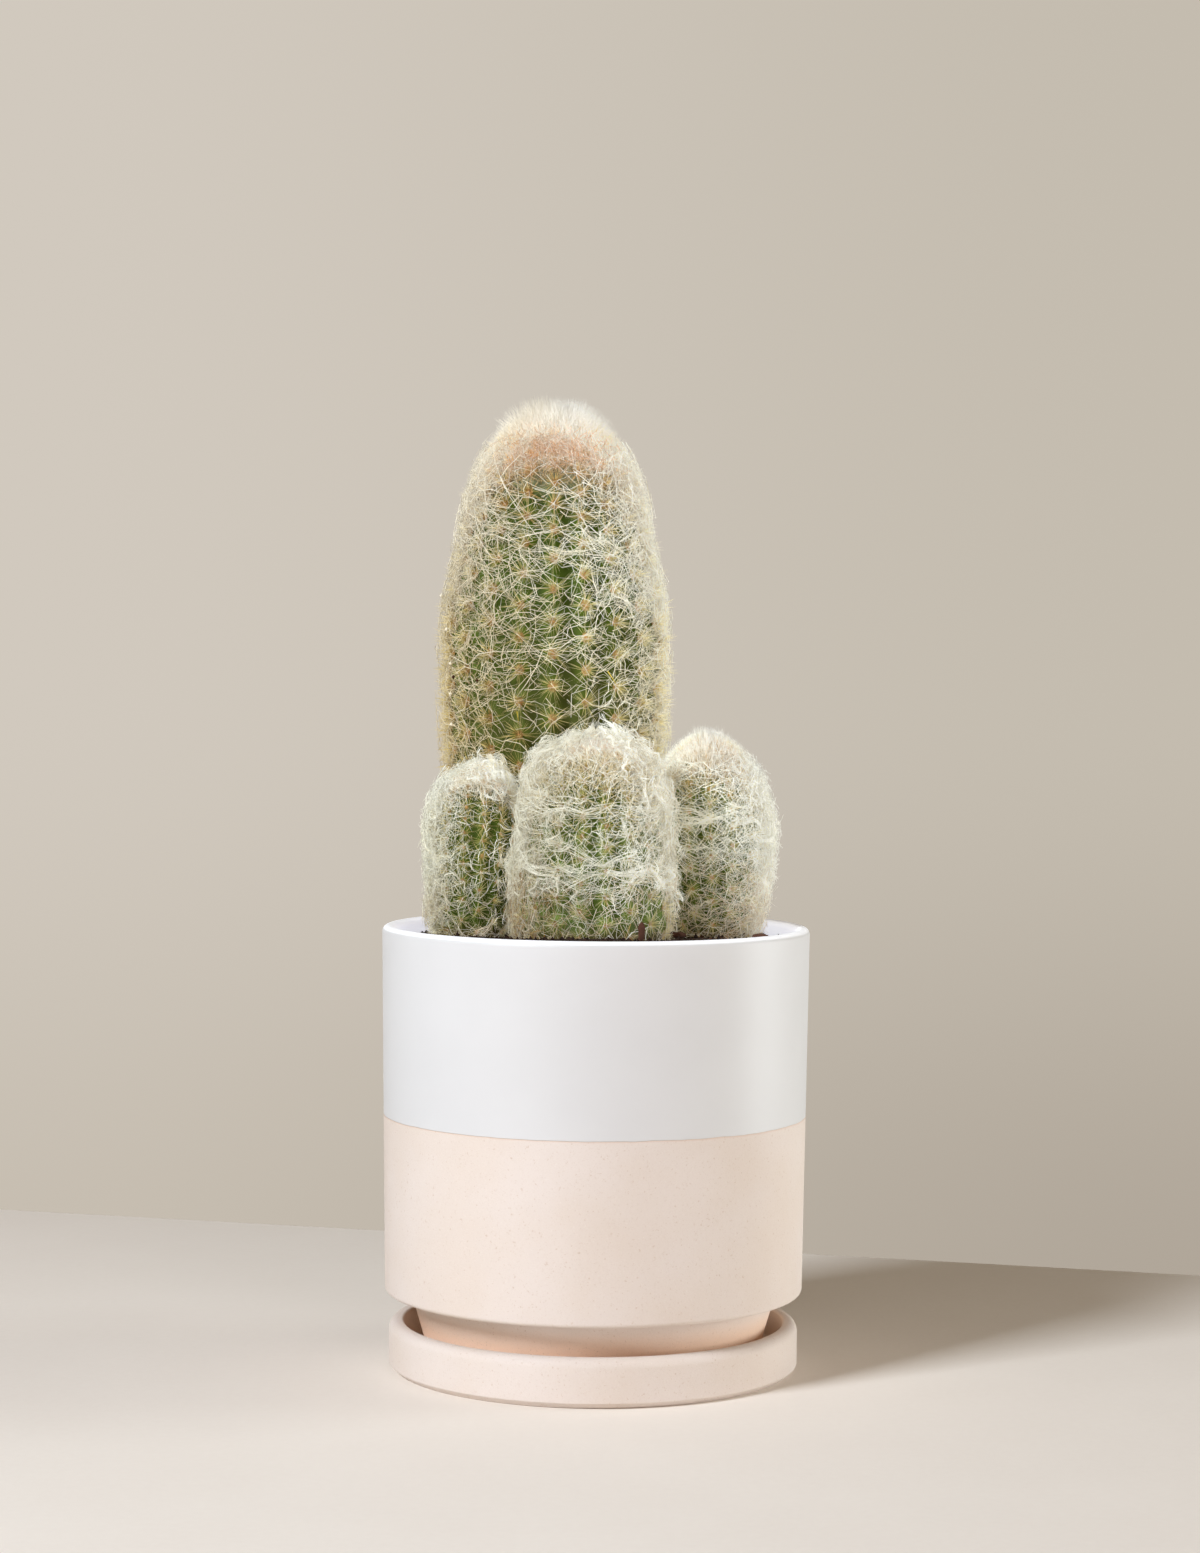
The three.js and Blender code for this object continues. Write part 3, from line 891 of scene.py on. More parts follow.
def needles(lines, across, thickness, tints):
    """Closed needles along lines of shape (hairs, points, 3), whose last point is the tip. across is any
    direction that a hair never points in."""
    count, stations, _ = lines.shape
    heading = unit(np.gradient(lines, axis=1))[:, :-1]
    side = unit(np.cross(heading, across))
    other = np.cross(heading, side)
    half = np.asarray(thickness)[:, None, None] / 2 * np.linspace(1, 0.6, stations - 1)[None, :, None]
    corners = [side * math.cos(a) + other * math.sin(a) for a in (0, 2 * math.pi / 3, 4 * math.pi / 3)]
    rings = np.stack([lines[:, :-1] + corner * half for corner in corners], 2)
    points = np.concatenate([rings.reshape(count, -1, 3), lines[:, -1:]], 1)
    pattern = [(0, 2, 1)]
    for start in range(0, 3 * (stations - 2), 3):
        for a, b in ((0, 1), (1, 2), (2, 0)):
            pattern += [(start + a, start + b, start + b + 3), (start + a, start + b + 3, start + a + 3)]
    last = 3 * (stations - 2)
    pattern += [(last, last + 1, last + 3), (last + 1, last + 2, last + 3), (last + 2, last, last + 3)]
    faces = np.array(pattern)[None] + points.shape[1] * np.arange(count)[:, None, None]
    tints = np.concatenate([np.repeat(tints[:, :-1], 3, 1), tints[:, -1:]], 1)
    return points.reshape(-1, 3), faces.reshape(-1, 3), tints.reshape(-1, 4)


def straight_hairs(start, tip, across, thickness, root_colour, tip_colour):
    """Needles without a bend, and their tints from root to tip."""
    tints = np.stack([root_colour, tip_colour], 1)
    return needles(np.stack([start, tip], 1), across[:, None], thickness, tints)


# %% The finish of hair, and a piece of hair
HAIR_GLOW = 0.24
WINDOW_SIDE = np.array((-0.98, -0.2, 0.0))
hair_finish, painted = tinted("bristle_and_wool", roughness=0.7, specular=0.1)
hair_finish.wear("Base Color", painted)
reached = hair_finish.node("ShaderNodeVertexColor", {"layer_name": "tint"}, {}, "Alpha")
hair_finish.wear("Emission Color", hair_finish.mix(reached, BLACK, painted))
hair_finish.wear("Emission Strength", HAIR_GLOW)


def tanned_and_shaded(stem, points, tints):
    """Painted shade with a little tan on the window side of a stem's hair, more on the old hair than the young.
    """
    below, outwards = stem.from_axis(points)
    # painted shade, with a little tan, where the hair faces the window lamp
    shade_share = smoothstep(unit(outwards) @ WINDOW_SIDE, -0.35, 0.85)
    shade_share = shade_share * (0.62 + 0.38 * smoothstep(below, 0.12 * stem.soil, 0.4 * stem.soil))
    return tints * blend(np.ones(4), stem.tan_and_shade, shade_share)


def lit_by_others(stem, points):
    """How much of the wandering light gets to a point: little at the skin, all of it at the tips."""
    below, outwards = stem.from_axis(points)
    lift = np.linalg.norm(outwards, axis=1) - np.interp(below, stem.outline_below, stem.outline_radius)
    crown = 1 - smoothstep(below, 0.06 * stem.soil, 0.14 * stem.soil)  # its fur is lit to the root
    return 0.15 + 0.85 * np.maximum(smoothstep(lift, -1.0, stem.fleece), crown)


def hair_piece(name, stem, shapes):
    """One object from several sets of hairs, each a shape of (points, faces, tints)."""
    starts = np.cumsum([0] + [len(points) for points, *_ in shapes[:-1]])
    faces = np.concatenate([faces + start for (_, faces, _), start in zip(shapes, starts, strict=True)])
    points = np.concatenate([points for points, *_ in shapes])
    tints = tanned_and_shaded(stem, points, np.concatenate([tints for *_, tints in shapes]))
    tints[:, 3] = lit_by_others(stem, points)
    made = mesh_object(name, points, [faces], hair_finish, tints=np.clip(tints, 0, 1))
    piece(name, made)


# %% [markdown]
# ## Areoles and bristles
# Each areole is a small cushion of tan felt on a rib. From it some forty or fifty fine bristles spread like
# a star, more than half of them low over the skin and the others standing out. At the crown the bristles
# are young: short, crowded and, on the tall stem, pink at the root. Further down they turn straw yellow,
# pale green and, with the years, olive. The tint of a bristle runs from its root to its tip, so a stem
# looks darker face on and pale along its edges, where the tips line up, as it does on the plant. The
# bristles on the left and right sides are painted paler still, as painted light, and their shoulders white.

# %% Colours along a stem
FUR, WOOL, WOOL_WARM = colour(247, 242, 229), colour(248, 248, 238), colour(246, 236, 206)
WOOL_SHADE = colour(216, 206, 180)  # wool deep in a pile
WOOL_DUSTY = colour(196, 168, 128)  # wool that soil has splashed on to
FELT, FELT_OLD = colour(220, 180, 124), colour(204, 158, 104)
PINK, RUST, STRAW = colour(234, 182, 140), colour(208, 156, 106), colour(196, 158, 74)
GOLDEN, CREAM, CREAM_YELLOW = colour(232, 206, 146), colour(242, 230, 184), colour(236, 218, 146)
PALE_GREEN, OLIVE, TAN = colour(204, 196, 118), colour(194, 162, 92), colour(164, 130, 84)
SPINE_YELLOW, SPECK_BROWN = colour(216, 192, 84), colour(66, 40, 26)
YEARS = (0.92, 0.87, 0.76, 1.0)  # what many years do to the tint of white wool


def root_tint(stem, age, length):
    """The colour of a bristle's root. It follows the crown's colours first, and then the years: only the
    tall stem is long enough to turn olive."""
    tint = blend(STRAW, PINK, stem.blush * (1 - smoothstep(age, 0.15, 0.21)))
    tint = blend(tint, PALE_GREEN, smoothstep(age, 0.22, 0.34))
    tint = blend(tint, OLIVE, smoothstep(length, 80, 140))
    return blend(tint, TAN, smoothstep(age, 0.9, 1.0))


def tip_tint(length):
    """The colour of a bristle's tip, which starts white at the crown."""
    tint = blend(WOOL, GOLDEN, smoothstep(length, 12, 20))
    tint = blend(tint, CREAM, smoothstep(length, 28, 48))
    return blend(tint, CREAM_YELLOW, smoothstep(length, 75, 145))


# %% Bristles
SPREAD_RAISED = (6, 40)  # how far off the skin bristles that spread are raised, in degrees
STANDING_RAISED = (45, 88)


def bristle_stars(stem, seed, per_areole, reach, thickness, raised):
    """Stars of bristles on every areole, raised off the skin between two angles in degrees."""
    random = np.random.default_rng(seed)
    angle, length, start, normal, around, up = stem.from_areoles(per_areole, 0.1)
    count = len(angle)
    turn = np.tile(np.arange(per_areole) * 2 * math.pi / per_areole, len(stem.areole_angle))
    turn = (turn + random.normal(0, 0.2, count))[:, None]
    raised = np.radians(random.uniform(*raised, count))[:, None]
    flat = np.cos(turn) * around + np.sin(turn) * up
    heading = flat * np.cos(raised) + normal * np.sin(raised)
    age = stem.age(length)
    size = (reach * random.uniform(0.6, 1.12, count) * (0.6 + 0.4 * smoothstep(age, 0, 0.3)))[:, None]
    start = start + flat * random.uniform(0.0, 0.7, count)[:, None]
    side = np.cross(normal, flat)
    tip = start + (heading + side * random.normal(0, 0.12, count)[:, None]) * size
    shade = random.normal(1.0, 0.10, count)[:, None]
    # painted light: the bristles on the left and right sides are paler, and high up whiter at the tip
    painted_side_light = smoothstep(abs(np.cos(angle)), 0.6, 0.95)
    years = smoothstep(length, 35, 80)
    root = blend(root_tint(stem, age, length), blend(CREAM, CREAM_YELLOW, years), 0.8 * painted_side_light)
    tip_colour = blend(tip_tint(length), WOOL, 0.7 * painted_side_light * (1 - years))
    thickness = thickness * random.uniform(0.75, 1.25, count)
    return straight_hairs(start, tip, side, thickness, root * shade, tip_colour * shade)


def bristles(name, seed, spread, standing, reach, thickness):
    """A stem's bristles: this many on each areole that spread, and this many that stand out."""
    stem = stems[name]
    low_ones = bristle_stars(stem, seed, spread, reach, thickness, SPREAD_RAISED)
    high_ones = bristle_stars(stem, seed + 1, standing, 0.8 * reach, 1.25 * thickness, STANDING_RAISED)
    hair_piece(f"{name}_bristles", stem, [low_ones, high_ones])


bristles("tall", 11, 34, 28, 7.4, 0.185)
bristles("front", 13, 30, 18, 5.8, 0.15)
bristles("right", 15, 30, 20, 5.4, 0.15)
bristles("left", 17, 22, 14, 5.0, 0.14)

# %% Felt cushions of the areoles
CUSHION_SIDES = 6
FELT_THICKNESS = 0.22
FELT_HAIRS = 6  # on each cushion


def felt_tint(age):
    return blend(FELT, FELT_OLD, smoothstep(age, 0.3, 0.9))


def cushion_shape():
    """A low six-sided dome, closed below, one millimetre in radius."""
    turn = np.arange(CUSHION_SIDES) * 2 * math.pi / CUSHION_SIDES
    ring = np.column_stack([np.cos(turn), np.sin(turn), np.zeros(CUSHION_SIDES)])
    points, (_, *fans) = tube(ring[None], (0, 0, -0.4), (0, 0, 0.6))
    return points, np.concatenate(fans)


def cushions(stem, seed, size):
    """A felt cushion on every areole, smaller on the young ones."""
    random = np.random.default_rng(seed)
    _, length, middle, normal, around, up = stem.from_areoles(1, 0.1)
    count = len(length)
    age = stem.age(length)
    shape, shape_faces = cushion_shape()
    radius = size * random.uniform(0.85, 1.15, count) * (0.45 + 0.55 * smoothstep(age, 0.05, 0.35))
    shape = shape[None] * radius[:, None, None]
    points = middle[:, None] + shape[..., :1] * around[:, None] + shape[..., 1:2] * up[:, None] * 1.15
    points = points + shape[..., 2:] * normal[:, None]
    faces = shape_faces[None] + shape.shape[1] * np.arange(count)[:, None, None]
    tint = felt_tint(age) * random.uniform(0.9, 1.08, count)[:, None]
    return points.reshape(-1, 3), faces.reshape(-1, 3), np.repeat(tint, shape.shape[1], 0)


def felt_hairs(stem, seed, size):
    """Short tan hairs that stand on each cushion and blur its edge."""
    random = np.random.default_rng(seed)
    _, length, middle, normal, around, up = stem.from_areoles(FELT_HAIRS, 0.3)
    count = len(length)
    turn = random.uniform(0, 2 * math.pi, count)[:, None]
    flat = np.cos(turn) * around + np.sin(turn) * up
    start = middle + flat * random.uniform(0.2, 0.9, count)[:, None] * size
    heading = unit(normal + flat * random.uniform(0.2, 1.4, count)[:, None])
    tip = start + heading * random.uniform(0.9, 1.7, count)[:, None] * size
    tint = felt_tint(stem.age(length)) * random.uniform(0.9, 1.15, count)[:, None]
    across = np.cross(heading, flat)
    return straight_hairs(start, tip, across, np.full(count, FELT_THICKNESS), tint, tint * 1.05)


for seed, (name, size) in enumerate({"tall": 1.45, "front": 0.75, "right": 0.75, "left": 0.6}.items(), 41):
    stem = stems[name]
    hair_piece(f"{name}_areoles", stem, [cushions(stem, seed, size), felt_hairs(stem, seed + 10, size)])

# %% [markdown]
# ## Young fur
# The crown of an old man cactus is hidden in a dense white felt of short hairs. They stand off the skin,
# leaning up to the crown, and are white at the tip. At their roots they go from white through pink to
# yellow down the stem, so the colour shows where one looks into the fur, and the edge stays white. The fur
# on top is calm and even, and it gets wilder further down. It is longest on the shoulder, where the crown
# turns down to the sides, and along the two sides it reaches down to the soil.


# %% Scattered places
RIGHT_SIDE, LEFT_SIDE, FRONT = 0.0, math.pi, -math.pi / 2


def scatter(stem, random, count, ages, side, thinning=None):
    """Random places between two ages, evenly over the surface, or ever fewer from the age thinning on.
    side, if given, is the angle that they gather round and how widely they spread."""
    age = stem.age(stem.along)
    share = stem.outline_radius * np.diff(stem.along, prepend=0) * ((age >= ages[0]) & (age <= ages[1]))
    if thinning is not None:
        share = share * (1 - smoothstep(age, thinning, ages[1])) ** 1.5
    length = np.interp(random.random(count) * share.sum(), np.cumsum(share), stem.along)
    angle = random.normal(*side, count) if side else random.uniform(0, 2 * math.pi, count)
    return angle, length


# %% Fur
LEFT_EXTRA = 0.35  # how much longer again the shoulder's fur is on the left


def fur(stem, seed, count, ages, height, thickness, shoulder=0.0, shoulder_at=(0.5, 4, 10, 22), ruffle=0.16,
        calm=0.0, side=None, thinning=None, drape=0.0, colouring=(0.1, 1.0), rosy=0.10, old=STRAW, cream=0.6):
    """Short straight hairs between two ages. They are longer by shoulder from shoulder_at's second distance
    to its third, and ruffle is how untidy they are, less by calm on the crown. drape is how much further
    down the stem they hang on its two sides. A root has between the two shares of colouring of its age's
    colour, which is pink from the age rosy on and soon turns to old. cream is how much of that a tip has."""
    random = np.random.default_rng(seed)
    angle, length = scatter(stem, random, count, ages, side, thinning)
    age = stem.age(length)
    length = length + drape * stem.soil * np.cos(angle) ** 2 * smoothstep(age, 0, 0.1)
    start, normal, around, up = stem.at(angle, length, -0.2)
    lean = random.normal(0.45, 0.2 + ruffle / 2, count)[:, None] * smoothstep(age, 0, 0.05)[:, None]
    wild = 1 - calm * (1 - smoothstep(age, 0.06, 0.12))
    heading = unit(normal + up * lean + around * (wild * random.normal(0, ruffle, count))[:, None])
    on_shoulder = smoothstep(length, *shoulder_at[:2]) * (1 - smoothstep(length, *shoulder_at[2:]))
    on_left = np.clip(np.cos(angle - LEFT_SIDE), 0, 1)
    size = height + shoulder * (on_shoulder * (1 + LEFT_EXTRA * on_left))
    size = size * (1 + wild * (random.uniform(0.84, 1.02 + ruffle / 3, count) - 1))
    size = size * stem.tufts(angle, length)
    facing = 1 - smoothstep(abs(np.cos(angle)), 0.3, 0.8)
    root = blend(FUR, PINK, stem.blush * (0.2 + 0.8 * facing) * smoothstep(age, rosy, rosy + 0.02))
    root = blend(root, old, (0.35 + 0.65 * facing) * smoothstep(age, rosy + 0.03, rosy + 0.06))
    root = blend(root, CREAM, smoothstep(age, 0.3, 0.5))
    root = blend(FUR, root, random.uniform(*colouring, count))
    shade = (1 + wild * (random.uniform(0.82, 1.02, count) - 1))[:, None]
    tip = blend(FUR, CREAM, cream * smoothstep(age, 0.25, 0.55))
    tip = blend(tip, root, 0.4 * smoothstep(age, rosy, rosy + 0.02))
    thickness = random.uniform(0.8, 1.2, count) * thickness
    end = start + heading * size[:, None]
    return straight_hairs(start, end, around, thickness, root * shade, tip * shade)


# %% Fur on each stem
tall, front, right, left = stems.values()
hair_piece("tall_fur", tall, [
    fur(tall, 21, 15000, (0.0, 0.25), 3.9, 0.23, shoulder=3.2, shoulder_at=(1.5, 7, 10, 22), ruffle=0.6,
        calm=0.6, thinning=0.09, drape=0.07, colouring=(0.5, 1.0), rosy=0.11),
    fur(tall, 61, 2300, (0.2, 1.0), 5.0, 0.28, ruffle=0.8, side=(LEFT_SIDE + 0.2, 0.45), colouring=(0.2, 1)),
    fur(tall, 62, 3900, (0.2, 1.0), 5.0, 0.33, ruffle=0.8, side=(RIGHT_SIDE - 0.2, 0.45), colouring=(0, 0.4)),
])
hair_piece("front_fur", front, [
    fur(front, 22, 9000, (0.0, 0.48), 2.8, 0.22, shoulder=0.3, ruffle=0.6, thinning=0.26, drape=0.1,
        colouring=(0.1, 0.9), rosy=0.15, old=CREAM_YELLOW),
])
hair_piece("right_fur", right, [
    fur(right, 23, 6500, (0.0, 0.42), 3.3, 0.25, shoulder=1.2, shoulder_at=(0.5, 4, 4, 9), thinning=0.16,
        drape=0.1, colouring=(0, 0.5), cream=0.4),
    fur(right, 63, 2400, (0.25, 1.0), 4.4, 0.22, ruffle=0.25, side=(RIGHT_SIDE, 0.6), colouring=(0, 0.5),
        cream=0.3),
])
hair_piece("left_fur", left, [
    fur(left, 24, 3800, (0.0, 0.34), 2.6, 0.24, shoulder=-0.8, shoulder_at=(0.5, 4, 6, 12), ruffle=0.5,
        thinning=0.1, drape=0.1, colouring=(0, 0.6), old=CREAM_YELLOW),
    fur(left, 64, 2000, (0.2, 1.0), 3.3, 0.2, ruffle=0.25, side=(LEFT_SIDE, 0.6), colouring=(0, 0.5),
        cream=0.4),
])

# %% [markdown]
# ## Wool
# Three kinds of white wool lie over the bristles. Long strands grow from the areoles and wander round the
# stem in soft curls. Tufts are strands that keep together: some hang in ropes from rib to rib, some go
# across the front and right stems as bands, and short ones with a strong curl are locks of cotton. Webs are
# loose hairs, each one arc, that lie anywhere and in every direction. Close to the soil all of it is tan
# from splashes. A strand walks over the stem in short steps, and its heading swings with a slow and a quick
# wave of its own, which gives curls that never look repeated.


# %% Strands of wool
SWING_DRAWS = [(0.4, 1.0), (0.3, 0.8), (9, 17), (4, 7), (0, 6.28), (0, 6.28)]  # sizes, spans and phases
ROOT_LIFT = 0.6  # a strand starts this far off the skin
LEAST_LIFT = 0.4  # and never comes nearer than this
TIGHTEST = 0.35  # the share of its length at which a tuft is drawn together most


def strands(stem, random, angle, length, heading, reach, lift, swing, stations, tuft):
    """Centre lines that wander over the stem. tuft says how many keep together, how far they fray apart
    and how much they curl off the stem."""
    together, apart, curl = tuft
    draws = [random.uniform(*ends, len(angle)) for ends in SWING_DRAWS]
    everything = [angle, length, heading, reach, lift, *draws]
    angle, length, heading, reach, lift, *draws = [np.repeat(values, together) for values in everything]
    count = len(angle)
    heading = heading + random.normal(0, 0.10, count) * (together > 1)
    step = reach / (stations - 1) * random.uniform(0.9, 1.1, count)
    fray = random.normal(0, apart, (2, count))
    lines, normals = [], []
    for station in range(stations):
        share = station / (stations - 1)
        rise = ROOT_LIFT + (lift - ROOT_LIFT) * smoothstep(share, 0, 0.35)
        rise = np.maximum(rise + curl * share * np.sin(9 * share + draws[4]), LEAST_LIFT)
        here, normal, _, up = stem.at(angle, length, rise)
        spread = 0.25 + 2.5 * abs(share - TIGHTEST) ** 1.5
        here = here + normal * abs(fray[0])[:, None] * spread + up * fray[1][:, None] * spread
        lines.append(here)
        normals.append(normal)
        way = heading
        for size, span, phase in zip(draws[:2], draws[2:4], draws[4:], strict=True):
            way = way + size * swing * np.sin(2 * math.pi * station * step / span + phase)
        radius = np.interp(length, stem.along, stem.outline_radius) + rise
        angle = angle + step * np.cos(way) / np.maximum(radius, 4)
        length = np.clip(length - step * np.sin(way), 1, stem.soil + 1)
    return np.stack(lines, 1), np.stack(normals, 1)[:, :-1]


# %% Tints of wool
def yellowed(length):
    """What the tint of wool is multiplied by, this far down a stem. Only the tall stem is old enough."""
    return blend(np.ones(4), YEARS, smoothstep(length, 70, 140))


def splashed(tints, points, heights, share):
    """Tints of wool at these points, dusty near the soil: most at the first height, none at the second."""
    above_soil = points[..., 2] - soil_level + SOIL_FALL * points[..., 1]
    return blend(tints, WOOL_DUSTY, 0.8 * (1 - smoothstep(above_soil, *heights)) * share)


# %% Wool that grows from areoles
def wool(stem, seed, count, thickness, reach, lift, ages, side=None, slant=1.0, swing=1.7, tuft=(1, 0.0, 0.0),
         warm=0.5, stations=7):
    """Wool that starts on areoles between two ages. side, if given, is the angle that most of it grows
    round and how widely it scatters. slant is how far from level it sets off, either way."""
    random = np.random.default_rng(seed)
    age = stem.age(stem.areole_length)
    weight = ((age > ages[0]) & (age < ages[1])).astype(float)
    if side is not None:
        off = np.angle(np.exp(1j * (stem.areole_angle - side[0])))
        weight = weight * np.exp(-0.5 * (off / side[1]) ** 2)
    starts = random.choice(len(age), count, p=weight / weight.sum())
    angle = stem.areole_angle[starts] + random.normal(0, 0.03, count)
    length = stem.areole_length[starts] + random.normal(0, 0.8, count)
    heading = random.normal(0, slant, count) + math.pi * (random.random(count) < 0.5)
    reach = reach * random.uniform(0.6, 1.3, count)
    lift = random.uniform(0.35, 1.0, count) * lift * stem.tufts(angle, length)
    lines, normals = strands(stem, random, angle, length, heading, reach, lift, swing, stations, tuft)
    count = len(lines)
    tone = blend(WOOL, WOOL_WARM, random.random(count) * warm) * random.uniform(0.92, 1.03, count)[:, None]
    tone = tone * np.repeat(yellowed(length), tuft[0], 0)
    tints = splashed(np.repeat(tone[:, None], stations, 1), lines, (2, 16), random.random((count, 1)))
    return needles(lines, normals, random.uniform(0.75, 1.25, count) * thickness, tints)


# %% Webs of loose hair
def web(stem, seed, count, thickness, reach, lifts, ages, side=None, warm=0.1, dark=WOOL_WARM, bent=0.6,
        tilt=0.0, steep=1.0, stations=3):
    """Short loose hairs, each one arc, which lie over the bristles in every direction. Short ones, strongly
    bent and deeply piled, look like cotton wool. A tilted hair rises or sinks by about tilt at its ends, and
    hairs that aren't steep lie more round the stem than along it. Their tints go from white towards dark."""
    random = np.random.default_rng(seed)
    angle, length = scatter(stem, random, count, ages, side)
    heading = random.uniform(-math.pi / 2, math.pi / 2, count) * steep
    bend = random.normal(0, bent, count)
    half = reach / 2 * random.uniform(0.5, 1.4, count)
    rises = random.normal(0, 1, count) * tilt
    tufts = stem.tufts(angle, length)
    lift = random.uniform(*lifts, count) * tufts
    radius = np.maximum(np.interp(length, stem.along, stem.outline_radius) + lift, 4)
    lines = []
    for way in np.linspace(-1, 1, stations):
        round_step = way * half * np.cos(heading + bend * way)
        down_step = way * half * np.sin(heading + bend * way)
        wander = random.normal(0, 1.0 / stations, count) + way * rises
        down = np.clip(length + down_step, 0.5, stem.soil)
        here, normal, *_ = stem.at(angle + round_step / radius, down, np.maximum(lift + wander, LEAST_LIFT))
        lines.append(here)
    tone = blend(WOOL, dark, random.random(count) * warm) * random.uniform(0.76, 1.04, count)[:, None]
    # painted shade: where the fleece lies lower, between tufts, the hairs are darker
    tone = tone * yellowed(length) * np.clip(0.6 + 0.4 * tufts, 0.8, 1.03)[:, None]
    tone = splashed(tone, here, (3, 22), random.random(count))
    tints = np.repeat(tone[:, None], stations, 1)
    return needles(np.stack(lines, 1), normal[:, None], random.uniform(0.75, 1.25, count) * thickness, tints)


# %% [markdown]
# ### Odd bits in the wool
# A few things catch the eye because they are alone: two long yellow spines on the tall stem, and on its
# left flank some clear drops and two dark specks. Drops and specks are the same small eight-sided shape as
# the soil's crumbs.

# %% Beads and long spines
BEAD = np.array((1, 1, 1.2))
SPINE_THICKNESS = 0.34


def beads(stem, places, size, tint):
    """Small eight-sided beads that hang among the bristles, each at an (angle, length)."""
    angle, length = np.array(places, float).T
    middle, *_ = stem.at(angle, length, stem.fleece)
    sizes = np.tile(BEAD * size, (len(places), 1))
    points, faces = copies(CRUMB, CRUMB_FACES, np.zeros(len(places)), sizes, middle)
    return points, faces, np.tile(tint, (len(points), 1))


def long_spines(stem, starts, ends):
    """The few long yellow spines, each from one (angle, length) to another."""
    lines = []
    for places in (starts, ends):
        angle, length = np.array(places, float).T
        here, normal, *_ = stem.at(angle, length, stem.fleece + 0.4)
        lines.append(here)
    tint = np.tile(SPINE_YELLOW, (len(starts), 2, 1))
    return needles(np.stack(lines, 1), normal[:, None], np.full(len(starts), SPINE_THICKNESS), tint)


# %% Wool on the tall stem
drops = [(LEFT_SIDE + 0.18, 69), (LEFT_SIDE + 0.46, 79), (LEFT_SIDE + 0.55, 89), (LEFT_SIDE + 0.55, 98),
         (LEFT_SIDE + 0.56, 107)]
specks = [(LEFT_SIDE + 0.6, 93), (LEFT_SIDE + 0.9, 94)]
hair_piece("tall_wool", tall, [
    web(tall, 71, 1900, 0.21, 13, (1.6, 4.2), (0.2, 1.0), warm=0.9, bent=0.5, steep=0.6, stations=4),
    web(tall, 75, 400, 0.21, 14, (2.2, 4.6), (0.22, 0.55), warm=0.8, steep=0.5, stations=5),
    web(tall, 76, 700, 0.19, 10, (1.2, 4.2), (0.14, 0.44), (LEFT_SIDE + 0.35, 0.4), warm=0.3),
    web(tall, 77, 800, 0.19, 10, (1.2, 4.2), (0.14, 0.44), (RIGHT_SIDE - 0.35, 0.4), warm=0.3),
    web(tall, 82, 650, 0.17, 4, (3.2, 4.8), (0.12, 0.185), (FRONT, 0.45), warm=1.0, dark=RUST, bent=1.4),
    wool(tall, 31, 380, 0.24, 16, 4.6, (0.2, 1.0), swing=1.3),
    wool(tall, 33, 190, 0.27, 42, 5.0, (0.18, 1.0), slant=0.7, swing=0.8, warm=0.2, stations=11),
    wool(tall, 32, 80, 0.15, 28, 4.6, (0.2, 1.0), slant=0.8, swing=0.9, tuft=(5, 0.35, 0.0), stations=8),
    long_spines(tall, [(FRONT + 0.46, 91), (FRONT - 0.29, 103)], [(FRONT + 0.62, 98.5), (FRONT - 0.27, 107)]),
    beads(tall, drops, 0.6, WOOL),
    beads(tall, specks, 0.5, SPECK_BROWN),
])

# %% Wool on the front stem: its sides are wrapped in cotton, and two bands go across it
hair_piece("front_wool", front, [
    web(front, 72, 1500, 0.18, 9, (1.0, 3.4), (0.2, 0.8), steep=0.8, stations=4),
    web(front, 83, 560, 0.19, 9, (1.0, 3.2), (0.74, 1.0), warm=0.2, stations=4),
    web(front, 76, 1000, 0.19, 8, (0.6, 3.8), (0.14, 0.8), (LEFT_SIDE + 0.35, 0.5), warm=1.2, dark=WOOL_SHADE,
        bent=1.3, tilt=1.2, stations=5),
    web(front, 77, 1000, 0.19, 8, (0.6, 4.2), (0.10, 0.8), (RIGHT_SIDE - 0.3, 0.5), warm=1.1, dark=WOOL_SHADE,
        bent=1.3, tilt=1.2, stations=5),
    web(front, 78, 400, 0.19, 6, (0.5, 2.4), (0.0, 0.12), warm=0.4, bent=1.3, tilt=1.0, stations=5),
    web(front, 84, 600, 0.17, 6, (0.6, 3.4), (0.72, 1.0), (LEFT_SIDE + 0.6, 0.5), warm=1.4, dark=WOOL_DUSTY,
        bent=1.2, tilt=0.8),
    wool(front, 35, 200, 0.2, 16, 3.8, (0.25, 1.0), swing=1.2),
    wool(front, 36, 110, 0.16, 11, 3.8, (0.12, 0.8), (LEFT_SIDE + 0.2, 0.6), tuft=(7, 0.5, 1.6), warm=0.1,
         stations=6),
    wool(front, 37, 100, 0.16, 11, 4.4, (0.06, 0.8), (RIGHT_SIDE - 0.2, 0.6), tuft=(7, 0.5, 1.6), warm=0.1,
         stations=6),
    wool(front, 46, 40, 0.15, 8, 3.4, (0.0, 0.22), slant=1.6, tuft=(6, 0.6, 1.2), stations=5),
    wool(front, 38, 18, 0.17, 32, 4.2, (0.40, 0.46), slant=0.1, swing=0.4, tuft=(8, 0.4, 0.5), warm=0,
         stations=8),
    wool(front, 45, 18, 0.17, 28, 4.2, (0.64, 0.72), slant=0.2, swing=0.6, tuft=(8, 0.4, 0.5), warm=0,
         stations=8),
])

